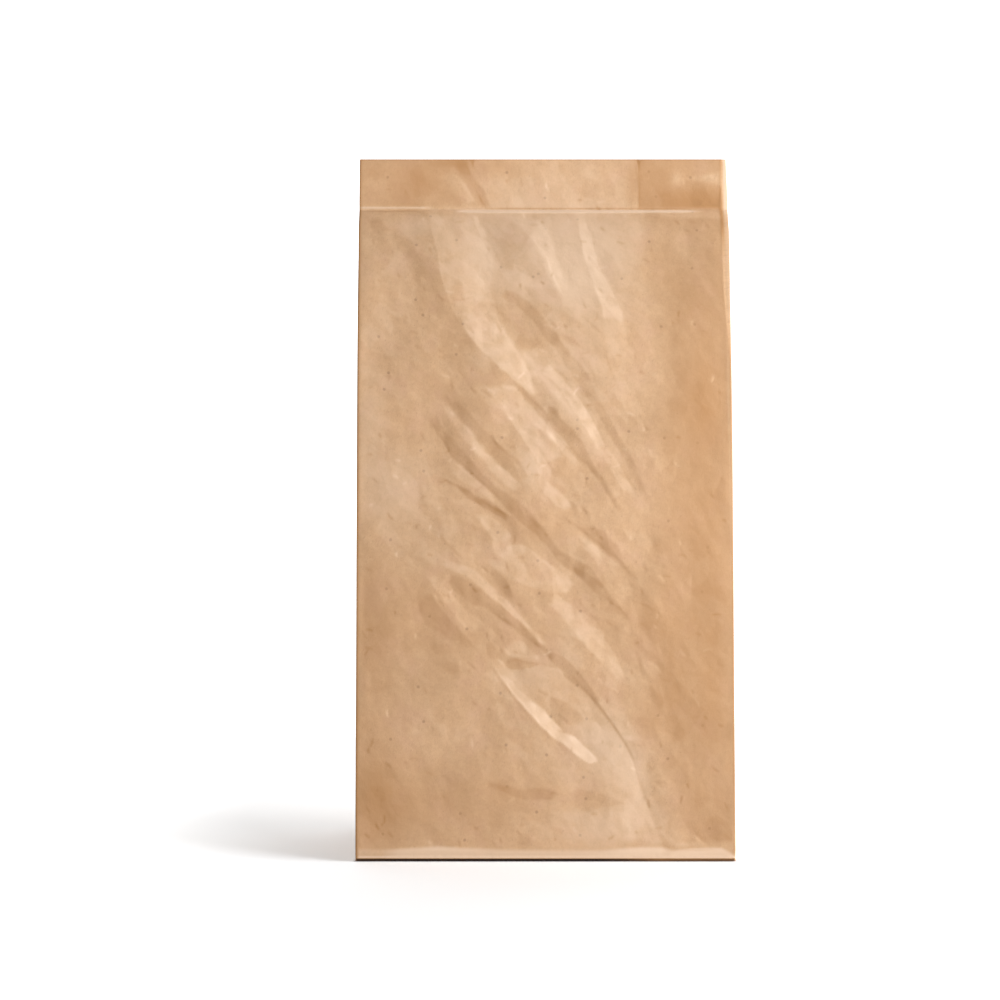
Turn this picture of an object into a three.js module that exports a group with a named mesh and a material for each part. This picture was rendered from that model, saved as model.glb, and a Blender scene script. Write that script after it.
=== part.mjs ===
// A self-opening kraft paper bag, standing on its flat base with its mouth pressed shut.
//
// It is one folded sheet of paper: a front and a back panel, a gusset down each side that folds inwards in
// a V, and a base of two flaps lapped over two side tucks. Its inside can't be seen, so it is one closed solid.
//
// Axes: X runs across the front panel, +Y from the front to the back, +Z is up. The origin is in the middle
// of the base. All lengths are in millimetres.
import * as THREE from "three";
import { mergeGeometries, mergeVertices } from "three/addons/utils/BufferGeometryUtils.js";

// ---- Driving dimensions ----
const WIDTH = 180; // across the front and the back panel
const DEPTH = 110; // of the opened base, so each half of a gusset is half of this
const HEIGHT = 340; // standing, from the base to the mouth
const BAND = 25; // strip along the mouth in which every layer is pressed flat
const LEAF = 0.6; // one side of the pressed mouth: a panel and its half of the gusset
const GROOVE = 0.5; // left between the two halves of a pressed gusset
const RACK = 1.5; // the front panel's mouth leans this far to the left, and the back panel's to the right

const FLARE_SHARE = 0.53; // share of the depth that the panels gain close under the band
const FLARE_LENGTH = 40; // height in which most of that share is gained
const BASE_ROLL = 6; // height in which the panels turn under into the base
const BASE_INSET = 2; // how far they turn under
const BOW = 3; // how far the middle of a panel stands out from the line between its corner folds

const FLAP_LAP = 12; // the front base flap ends this far behind the middle of the base
const INNER_FLAP_RISE = 0.5; // the back base flap lies this far above the floor, under the front one
const TUCK_RISE = 0.9; // the side tucks lie this far above the floor, under both flaps

const SEAM_AT = 28; // the glued edge of the sheet runs down the back panel here
const SEAM_STEP = 0.6; // and stands this far out
const BACK_CREASE = 0.8; // depth of the crease across the back, where the base folds up against it

// Divisions of the mesh
const GUSSET_COLUMNS = 8; // across half a gusset, and across the panel in front of or behind it
const MIDDLE_COLUMNS = 10; // across the panel between the two gussets
const MIDDLE_ROWS = 27; // from the gusset's lower point to the band
const BAND_ROWS = 2;

// The large folds of the front panel, from its upper left towards its lower right. Each has its track, as
// [x, z] points, its height at the crest (less than 0 for a valley) and its reach to either side.
const FRONT_FOLDS = [
  { height: 2.4, reach: 15, track: [[-57, 312], [-51, 284], [-38, 253], [-14, 234]] },
  { height: -2.0, reach: 14, track: [[-24, 271], [-5, 261], [21, 221], [45, 168]] },
  { height: 1.8, reach: 13, track: [[-12, 305], [0, 286], [12, 266]] },
  { height: -2.2, reach: 15, track: [[-56, 209], [-19, 168], [32, 120], [48, 85]] },
  { height: 1.8, reach: 12, track: [[-12, 223], [12, 198], [33, 168]] },
  { height: 3.0, reach: 17, track: [[-64, 142], [-24, 118], [14, 86], [40, 50], [55, 8]] },
];
const FOLD_FADE = 70; // height above the base in which the folds gain their full depth

// ---- Worked out from them ----
const HALF_WIDTH = WIDTH / 2;
const HALF_DEPTH = DEPTH / 2;
const HALF_MOUTH = LEAF + GROOVE / 2;
const BAND_FOOT = HEIGHT - BAND;
const GUSSET_HALF = HALF_DEPTH - HALF_MOUTH;
const ROWS = GUSSET_COLUMNS + MIDDLE_ROWS + BAND_ROWS;
const PANEL_COLUMNS = GUSSET_COLUMNS + MIDDLE_COLUMNS + GUSSET_COLUMNS;
const FRONT = -1;
const BACK = 1;
const LEFT = -1;
const RIGHT = 1;

// The height of a row of vertices. The lowest rows are as far apart as the gusset's columns, so that the
// slanting folds of the gusset's foot run through vertices. Above them the rows close up towards the band.
function rowHeight(row) {
  if (row <= GUSSET_COLUMNS) return (HALF_DEPTH * row) / GUSSET_COLUMNS;
  if (row <= GUSSET_COLUMNS + MIDDLE_ROWS) {
    const share = (row - GUSSET_COLUMNS) / MIDDLE_ROWS;
    const closing = 0.4 * (1 - share);
    return HALF_DEPTH + (BAND_FOOT - HALF_DEPTH) * share * (1 + closing);
  }
  return BAND_FOOT + (BAND * (row - GUSSET_COLUMNS - MIDDLE_ROWS)) / BAND_ROWS;
}

// Where a column of a panel lies, from -0.5 at its left fold to 0.5 at its right one: the outer columns are
// as wide as those of the gusset that they meet in the pressed mouth.
function columnAcross(column) {
  const outer = GUSSET_HALF / GUSSET_COLUMNS;
  const middle = (WIDTH - 2 * GUSSET_HALF) / MIDDLE_COLUMNS;
  const inMiddle = Math.min(Math.max(column - GUSSET_COLUMNS, 0), MIDDLE_COLUMNS);
  return ((column - inMiddle) * outer + inMiddle * middle) / WIDTH - 0.5;
}

// Half the distance between the panels: nothing but the layers in the band, then a quick flare, then a
// straight run down to the base, where the panels turn under.
function halfDepth(z) {
  if (z >= BAND_FOOT) return HALF_MOUTH;
  const flare = 1 - Math.exp((z - BAND_FOOT) / FLARE_LENGTH);
  const run = Math.min(1, (BAND_FOOT - z) / (BAND_FOOT - BASE_ROLL));
  const open = FLARE_SHARE * flare + (1 - FLARE_SHARE) * run;
  const underturn = BASE_INSET * Math.max(0, 1 - z / BASE_ROLL) ** 2;
  return HALF_MOUTH + GUSSET_HALF * open - underturn;
}

const BASE_HALF_DEPTH = halfDepth(0);
const BASE_GUSSET_HALF = BASE_HALF_DEPTH - HALF_MOUTH;

// The sideways lean of the front or the back panel at a height.
function lean(face, z) {
  return face * RACK * (z / HEIGHT) ** 2;
}

// The distance from a point to a stretch of straight line between two points.
function distanceToStretch([x, z], [x0, z0], [x1, z1]) {
  const along = ((x - x0) * (x1 - x0) + (z - z0) * (z1 - z0)) / ((x1 - x0) ** 2 + (z1 - z0) ** 2);
  const share = Math.min(1, Math.max(0, along));
  return Math.hypot(x - x0 - share * (x1 - x0), z - z0 - share * (z1 - z0));
}

// A fold stands highest on its track and falls off in a straight slope to nothing at its reach.
function foldHeight({ height, reach, track }, x, z) {
  let nearest = Infinity;
  for (let i = 1; i < track.length; i++) {
    nearest = Math.min(nearest, distanceToStretch([x, z], track[i - 1], track[i]));
  }
  return height * Math.max(0, 1 - nearest / reach);
}

// What stands out of the front panel's smooth form: its folds, which fade out at its edges.
function frontRelief(across, z) {
  const edge = Math.min(1, 6 * (0.5 - Math.abs(across)));
  const ends = Math.min(1, z / FOLD_FADE, Math.max(0, BAND_FOOT - z) / BASE_ROLL);
  const x = across * WIDTH;
  return edge * ends * FRONT_FOLDS.reduce((sum, fold) => sum + foldHeight(fold, x, z), 0);
}

// What stands out of the back panel's smooth form: the glued edge and the crease above the base.
function backRelief(across, z) {
  const isSeam = across * WIDTH > SEAM_AT && across < 0.5 && z > 0 && z < BAND_FOOT;
  const fromCrease = Math.abs(z - HALF_DEPTH);
  const isInside = Math.abs(across) < 0.5;
  const crease = isInside ? BACK_CREASE * Math.max(0, 1 - fromCrease / BASE_ROLL) : 0;
  return (isSeam ? SEAM_STEP : 0) - crease;
}

// A point of the front or the back panel.
function panelPoint(face, across, z) {
  const bowed = z < BAND_FOOT ? Math.sin((Math.PI * z) / BAND_FOOT) ** 2 : 0;
  const bulge = BOW * (1 - (2 * across) ** 2) * bowed;
  const relief = face === FRONT ? frontRelief(across, z) : backRelief(across, z);
  return [across * WIDTH + lean(face, z), face * (halfDepth(z) + bulge + relief), z];
}

// How far the gusset's middle fold lies inside the line between the corner folds: both halves keep their
// width as the panels close. In its foot, the triangle between the slanting folds leans in as a flat piece.
function foldDepth(z) {
  if (z < HALF_DEPTH) return (foldDepth(HALF_DEPTH) * z) / HALF_DEPTH;
  return Math.sqrt(GUSSET_HALF ** 2 - (halfDepth(z) - HALF_MOUTH) ** 2);
}

// A point of one half of a gusset. share runs from 0 at its corner fold to 1 at its middle fold. Below the
// height HALF_DEPTH a slanting fold crosses it, and what lies inside that fold belongs to the flat triangle.
function gussetPoint(side, face, share, z) {
  const cornerX = side * HALF_WIDTH + lean(face, z);
  const cornerY = halfDepth(z) - LEAF;
  const innerX = side * (HALF_WIDTH - foldDepth(z));
  const slant = Math.min(1, z / HALF_DEPTH);
  const innerY = GROOVE / 2 + (1 - Math.max(share, slant)) * BASE_GUSSET_HALF;
  if (share >= slant) return [innerX, face * innerY, z];
  const toSlant = share / slant;
  return [cornerX + (innerX - cornerX) * toSlant, face * (cornerY + (innerY - cornerY) * toSlant), z];
}

// The height of the base above the floor: the front flap lies lowest, the back flap under it and the side
// tucks under both. The flaps' slanting edges run from the corners of the base.
function baseRise(x, y) {
  const fromSide = (HALF_WIDTH - Math.abs(x)) / GUSSET_HALF;
  const fromEdge = (BASE_HALF_DEPTH - LEAF - Math.abs(y)) / BASE_GUSSET_HALF;
  if (fromSide <= 0 || fromEdge <= 0) return 0;
  const fromFront = y < 0 ? fromEdge : 2 - fromEdge;
  const slack = 1e-6;
  if (y < FLAP_LAP && fromSide > fromFront - slack) return 0;
  if (y > 0 && fromSide > fromEdge - slack) return INNER_FLAP_RISE;
  return TUCK_RISE;
}

// A sheet of columns by rows of four-sided cells through point(column, row). It faces the side from which
// its columns run to the right as its rows run up. Each cell is split along its rising or its falling diagonal.
function sheet(columns, rows, point, isRising) {
  const positions = [];
  const faces = [];
  for (let row = 0; row <= rows; row++) {
    for (let column = 0; column <= columns; column++) positions.push(...point(column, row));
  }
  for (let row = 0; row < rows; row++) {
    for (let column = 0; column < columns; column++) {
      const a = row * (columns + 1) + column;
      const b = a + 1;
      const c = b + columns + 1;
      const d = a + columns + 1;
      if (isRising(column, row)) faces.push(a, b, c, a, c, d);
      else faces.push(a, b, d, b, c, d);
    }
  }
  const geometry = new THREE.BufferGeometry();
  geometry.setAttribute("position", new THREE.Float32BufferAttribute(positions, 3));
  return geometry.setIndex(faces);
}

const rising = () => true;
const falling = () => false;

function panel(face) {
  const across = (column) => columnAcross(face === FRONT ? column : PANEL_COLUMNS - column);
  return sheet(PANEL_COLUMNS, ROWS, (column, row) => panelPoint(face, across(column), rowHeight(row)), falling);
}

// Half a gusset. Seen from outside, it runs towards the middle fold on the right-hand side of the bag's
// front half and of its left-hand side's back half, and away from it on the other two.
function gussetHalf(side, face) {
  const isInward = side === -face;
  const share = (column) => (isInward ? column : GUSSET_COLUMNS - column) / GUSSET_COLUMNS;
  const point = (column, row) => gussetPoint(side, face, share(column), rowHeight(row));
  return sheet(GUSSET_COLUMNS, ROWS, point, isInward ? rising : falling);
}

// The narrow strip round a corner fold, between a panel and its half of the gusset.
function cornerFold(side, face) {
  const points = [
    (z) => [side * HALF_WIDTH + lean(face, z), face * halfDepth(z), z],
    (z) => gussetPoint(side, face, 0, z),
  ];
  const isInward = side === -face;
  return sheet(1, ROWS, (column, row) => points[isInward ? column : 1 - column](rowHeight(row)), falling);
}

// The narrow strip round the middle fold of a gusset.
function middleFold(side) {
  const face = (column) => side * (column === 0 ? FRONT : BACK);
  return sheet(1, ROWS, (column, row) => gussetPoint(side, face(column), 1, rowHeight(row)), falling);
}

// The edge of the mouth over one side of a pressed gusset: a panel's outer columns and half a gusset.
function mouthLeaf(side, face) {
  const first = side === LEFT ? 0 : PANEL_COLUMNS - GUSSET_COLUMNS;
  const onPanel = (column) => panelPoint(face, columnAcross(first + column), HEIGHT);
  const share = (column) => (side === LEFT ? column : GUSSET_COLUMNS - column) / GUSSET_COLUMNS;
  const onGusset = (column) => gussetPoint(side, face, share(column), HEIGHT);
  const lines = face === FRONT ? [onPanel, onGusset] : [onGusset, onPanel];
  return sheet(GUSSET_COLUMNS, 1, (column, row) => lines[row](column), falling);
}

// The edge of the mouth between the two gussets.
function mouthMiddle() {
  const edgeY = [-HALF_MOUTH, -GROOVE / 2, GROOVE / 2, HALF_MOUTH];
  const edgeLean = [lean(FRONT, HEIGHT), 0, 0, lean(BACK, HEIGHT)];
  const across = (column) => columnAcross(GUSSET_COLUMNS + column) * WIDTH;
  const point = (column, row) => [across(column) + edgeLean[row], edgeY[row], HEIGHT];
  return sheet(MIDDLE_COLUMNS, edgeY.length - 1, point, falling);
}

// The base, seen from below. Its rows start at the back, and are those of the side panels' lower edges.
function base() {
  const halfRows = GUSSET_COLUMNS + 2;
  const rowY = (row) => {
    const fromEdge = Math.min(row, 2 * halfRows - 1 - row);
    if (fromEdge === 0) return (row === 0 ? 1 : -1) * BASE_HALF_DEPTH;
    return gussetPoint(RIGHT, row < halfRows ? BACK : FRONT, (fromEdge - 1) / GUSSET_COLUMNS, 0)[1];
  };
  const point = (column, row) => {
    const x = columnAcross(column) * WIDTH;
    const y = rowY(row);
    return [x, y, baseRise(x, y)];
  };
  const isRising = (column, row) => column < PANEL_COLUMNS / 2 !== row < halfRows;
  return sheet(PANEL_COLUMNS, 2 * halfRows - 1, point, isRising);
}

function bagGeometry() {
  const sheets = [panel(FRONT), panel(BACK), mouthMiddle(), base()];
  for (const side of [LEFT, RIGHT]) {
    sheets.push(middleFold(side));
    for (const face of [FRONT, BACK]) {
      sheets.push(gussetHalf(side, face), cornerFold(side, face), mouthLeaf(side, face));
    }
  }
  const closed = mergeVertices(mergeGeometries(sheets), 1e-3);
  closed.computeVertexNormals();
  return closed;
}

const kraftPaper = new THREE.MeshStandardMaterial({ color: 0xcfa27a, roughness: 0.85, metalness: 0 });

const bag = new THREE.Mesh(bagGeometry(), kraftPaper);
bag.name = "bag";

const root = new THREE.Group();
root.add(bag);

export default root;
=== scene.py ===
"""A gusseted kraft paper bag, standing with its mouth pressed shut.

The bag is one folded sheet of paper. Its walls are worked out as a grid: rows run up the bag, and columns run
once round it, through the front panel, the right gusset, the back panel and the left gusset. The creases of
the front panel are laid on as relief and as tones of painted light and shade. Lengths are in millimetres
until they go into a mesh.
"""

import math
from dataclasses import dataclass

import bpy
import numpy as np
from mathutils.geometry import tessellate_polygon
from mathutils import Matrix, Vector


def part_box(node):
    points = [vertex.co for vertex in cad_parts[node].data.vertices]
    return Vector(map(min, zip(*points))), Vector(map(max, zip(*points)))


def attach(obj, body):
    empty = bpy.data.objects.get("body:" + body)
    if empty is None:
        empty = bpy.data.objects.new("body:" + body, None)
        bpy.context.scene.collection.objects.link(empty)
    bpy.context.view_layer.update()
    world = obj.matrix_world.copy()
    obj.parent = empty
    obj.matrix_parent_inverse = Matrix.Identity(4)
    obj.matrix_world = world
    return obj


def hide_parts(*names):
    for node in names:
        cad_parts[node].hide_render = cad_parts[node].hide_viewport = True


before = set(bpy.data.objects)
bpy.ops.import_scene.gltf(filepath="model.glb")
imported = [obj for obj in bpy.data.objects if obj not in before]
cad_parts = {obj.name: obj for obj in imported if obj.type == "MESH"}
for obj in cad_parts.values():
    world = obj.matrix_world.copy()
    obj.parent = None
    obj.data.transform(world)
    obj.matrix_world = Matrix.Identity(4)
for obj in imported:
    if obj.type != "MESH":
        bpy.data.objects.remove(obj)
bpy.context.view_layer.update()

MM = 0.001  # metres in a millimetre
TINY = 1e-9  # keeps a division whole where a length is 0
FRONT, BACK, LEFT, RIGHT = -1, 1, -1, 1

# ---- The bag, in millimetres ----
bag_low, bag_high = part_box("bag")
HEIGHT = (bag_high[2] - bag_low[2]) / MM
RACK = 1.5  # the front panel's mouth leans this far to the left, and the back panel's to the right
WIDTH = (bag_high[0] - bag_low[0]) / MM - 2 * RACK
DEPTH = 110.0  # of the opened base
BAND = 25.0  # height of the strip along the mouth in which the layers are pressed flat
BAND_FOOT = HEIGHT - BAND
LEAF = 0.6  # thickness of one side of the pressed mouth
GROOVE = 0.5  # between the two halves of a pressed gusset
HALF_MOUTH = LEAF + GROOVE / 2
GUSSET_HALF = DEPTH / 2 - HALF_MOUTH
PAPER = 0.2  # thickness of the paper, where an edge of it shows

FLARE_SHARE = 0.53  # share of the depth that the panels gain close under the band
FLARE_LENGTH = 40.0  # height in which most of that share is gained
BASE_ROLL = 6.0  # height in which the panels turn under into the base
BASE_INSET = 2.0  # how far they turn under
BOW = 3.0  # how far the middle of a panel stands out
FOLD_RADIUS = 0.7  # of the folds at the sides of a panel
PANEL_EDGE = WIDTH / 2 - FOLD_RADIUS  # where the flat of a panel ends and such a fold starts

FOOT_LIFT = 0.25  # the fold along the base curves up to this height above the floor
FOOT_STRIP = 5.6  # height of the strip along the base, folded a little inwards
FOOT_TUCK = 0.35  # how far it is folded in

# How far the edges of the front panel, and the corner fold past its right-hand one, lie to the right of their
# upright places, by height. Near the mouth a ledge of the layers behind shows beside the panel
FRONT_LEFT_EDGE = [(0, 0), (170, -0.4), (250, -0.8), (290, -1.2), (306, -1.7), (318, -1.8), (340, -1.6)]
FRONT_RIGHT_EDGE = [(0, -0.2), (122, 0.1), (238, 0.3), (260, -1.2), (272, -1.9), (287, -1.75), (298, -1.45),
                    (308, -1.1), (340, -1.0)]
RIGHT_CORNER = [(0, -0.4), (74, -0.3), (171, 0), (244, 0.25), (270, 0.4), (290, 1.0), (303, 1.5), (320, 1.7),
                (330, 1.2), (340, 0.8)]

# ---- The camera, level and square to the bag ----
PHOTO_SIDE = 1000  # pixels
CAMERA_AWAY = 1043.6  # from the middle of the bag
CAMERA_X, CAMERA_Z = -21.61, 170.67
PIXELS_PER_RADIAN = 2098.1  # near the middle of the view
ROUGH_SCALE = 0.5  # mm in a pixel, to start from
DEPTH_PASSES = 6  # how often a point's depth is found again


def follow(track, places):
    """The values at places along a track of (place, value) pairs, with straight stretches between them."""
    return np.interp(places, *np.transpose(track))


def smoothstep(t):
    t = np.clip(t, 0, 1)
    return t * t * (3 - 2 * t)


def bell(distance, width):
    """A bell curve, which has fallen to about a third where the distance is its width."""
    return np.exp(-((distance / width) ** 2))


def half_depth(z):
    """Half the distance between the panels: the layers alone in the band, then a quick flare, which is 1
    less an exponential of the distance below the band, and a straight run down to the rolled base."""
    flare = 1 - np.exp((z - BAND_FOOT) / FLARE_LENGTH)
    run = np.clip((BAND_FOOT - z) / (BAND_FOOT - BASE_ROLL), 0, 1)
    underturn = BASE_INSET * np.clip(1 - z / BASE_ROLL, 0, 1) ** 2
    open_depth = GUSSET_HALF * (FLARE_SHARE * flare + (1 - FLARE_SHARE) * run) - underturn
    return HALF_MOUTH + np.where(z < BAND_FOOT, open_depth, 0)


BASE_HALF_DEPTH = float(half_depth(np.array(0.0)))


def lean(face, z, share):
    """How far a panel lies to the right of its upright place: share is 0 at its left edge and 1 at its right.
    The back panel leans with the square of the height, and no further at its right edge than the ledge."""
    if face == FRONT:
        left, right = follow(FRONT_LEFT_EDGE, z), follow(FRONT_RIGHT_EDGE, z)
    else:
        left = RACK * (z / HEIGHT) ** 2
        right = np.minimum(left, follow(RIGHT_CORNER, z))
    return left + share * (right - left)


def on_panel(pixels):
    """Where points of the photograph lie on the front panel, as [x, z]. A point's depth depends on its
    height, so both are found again a few times."""
    across, down = (np.array(pixels, float) - PHOTO_SIDE / 2).T
    scale = ROUGH_SCALE
    for _ in range(DEPTH_PASSES):
        z = CAMERA_Z - down * scale
        scale = (CAMERA_AWAY - half_depth(z)) / PIXELS_PER_RADIAN
    z = CAMERA_Z - down * scale
    x = CAMERA_X + across * scale
    return np.column_stack([x - lean(FRONT, z, x / WIDTH + 0.5), z])


# ---- What shows on the front panel, in pixels of the photograph ----
@dataclass
class Facet:
    """A piece of the front panel that is turned a little to the light, or away from it where `tilt` is below
    0. Its two sides, from their upper ends down, are tracks in pixels. The tilt grows from the lower left
    side and from the upper right one over the two distances of `fade`, in millimetres."""

    lower_left: list
    upper_right: list
    tilt: float  # degrees
    fade: tuple = (2.0, 2.0)


@dataclass
class Line:
    """A fine crease along a track in pixels: a narrow strip that is turned away from the light, or to it."""

    track: list
    tilt: float  # degrees
    half_width: float = 0.6


@dataclass
class Patch:
    """A soft patch of a tone: a bell curve about its middle, with a reach across and up, in pixels."""

    middle: tuple
    reach: tuple
    tone: float


# Tones are painted light and shade, above 0 paler and below 0 deeper in colour
PATCHES = {
    "collar_glow": Patch((550, 244), (80, 54), 0.56),
    "right_glow": Patch((600, 300), (40, 110), 0.14),
    "upper_right_glow": Patch((684, 238), (26, 34), 0.2),
    "shoulder_glow": Patch((486, 250), (18, 44), 0.14),
    "sweep_glow": Patch((560, 380), (48, 75), 0.14),
    "under_fan_glow": Patch((505, 545), (24, 14), 0.3),
    "low_left": Patch((415, 620), (95, 75), -0.26),
    "left_edge": Patch((366, 620), (20, 90), -0.2),
    "low_band": Patch((430, 800), (110, 34), -0.38),
    "low_left_corner": Patch((374, 800), (30, 80), -0.5),
    "keel_side": Patch((602, 744), (36, 38), 0.5),
    "keel_lap": Patch((638, 780), (16, 44), 0.3),
    "foot_glow": Patch((598, 826), (44, 26), 0.34),
    "foot_right": Patch((664, 822), (16, 26), 0.22),
    "fan_core": Patch((522, 528), (36, 22), -0.24),
    "left_crumple": Patch((440, 410), (50, 45), -0.1),
    "left_lift": Patch((395, 492), (42, 40), 0.32),
    "left_lift_low": Patch((432, 560), (40, 22), 0.22),
    "twig_side": Patch((618, 590), (22, 60), -0.16),
    "right_edge": Patch((708, 540), (26, 210), -0.26),
    "right_middle": Patch((664, 670), (20, 70), -0.2),
    "cup_glow": Patch((528, 675), (30, 22), 0.3),
    "right_upper": Patch((704, 400), (26, 44), -0.3),
    "collar_low": Patch((575, 296), (36, 22), 0.24),
    "collar_valley": Patch((508, 250), (18, 18), -0.12),
    "hollow": Patch((424, 272), (20, 50), -0.08),
    "keel_top": Patch((642, 632), (16, 30), -0.34),
    "keel_right": Patch((645, 724), (16, 22), -0.36),
    "left_upper": Patch((370, 430), (16, 70), 0.18),
    "right_dim": Patch((652, 258), (16, 28), -0.24),
    "neck_foot": Patch((532, 464), (14, 14), 0.4),
    "band_corner": Patch((712, 207), (14, 7), -0.15),
    "band_fold_right": Patch((492, 165), (22, 11), -0.42),
    "band_fold_top": Patch((459, 161), (14, 6), -0.25),
    "below_crease": Patch((450, 222), (40, 10), 0.12),
    "left_of_shoulder": Patch((418, 224), (15, 14), 0.3),
    "fan_start": Patch((473, 436), (13, 14), 0.28),
    "below_fan_glow": Patch((572, 650), (14, 26), 0.22),
    "hook_glow": Patch((482, 362), (17, 14), 0.2),
    "right_low": Patch((712, 680), (12, 50), -0.16),
    "band_ochre": Patch((418, 184), (24, 22), -0.42),
    "band_top_ochre": Patch((448, 163), (22, 6), -0.3),
    "band_pale": Patch((380, 188), (16, 10), 0.12),
    "band_blob": Patch((677, 179), (6, 7), 0.5),
    "band_glow": Patch((708, 170), (26, 13), 0.36),
    "band_core": Patch((688, 203), (44, 10), -0.32),
    "band_fold_shade": Patch((633, 184), (5, 22), -0.4),
}

# Sides that two facets share
SHOULDER_SIDE = [(468, 333), (478, 347), (490, 359), (505, 373), (520, 386), (533, 398)]
SPOON_SIDE = [(515, 697), (523, 706), (532, 716), (541, 726), (549, 734), (558, 741), (568, 748), (579, 757),
              (589, 763), (600, 761)]
SPOON_BACK = [(555, 722), (564, 731), (575, 737), (584, 745), (592, 753), (600, 760)]

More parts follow.
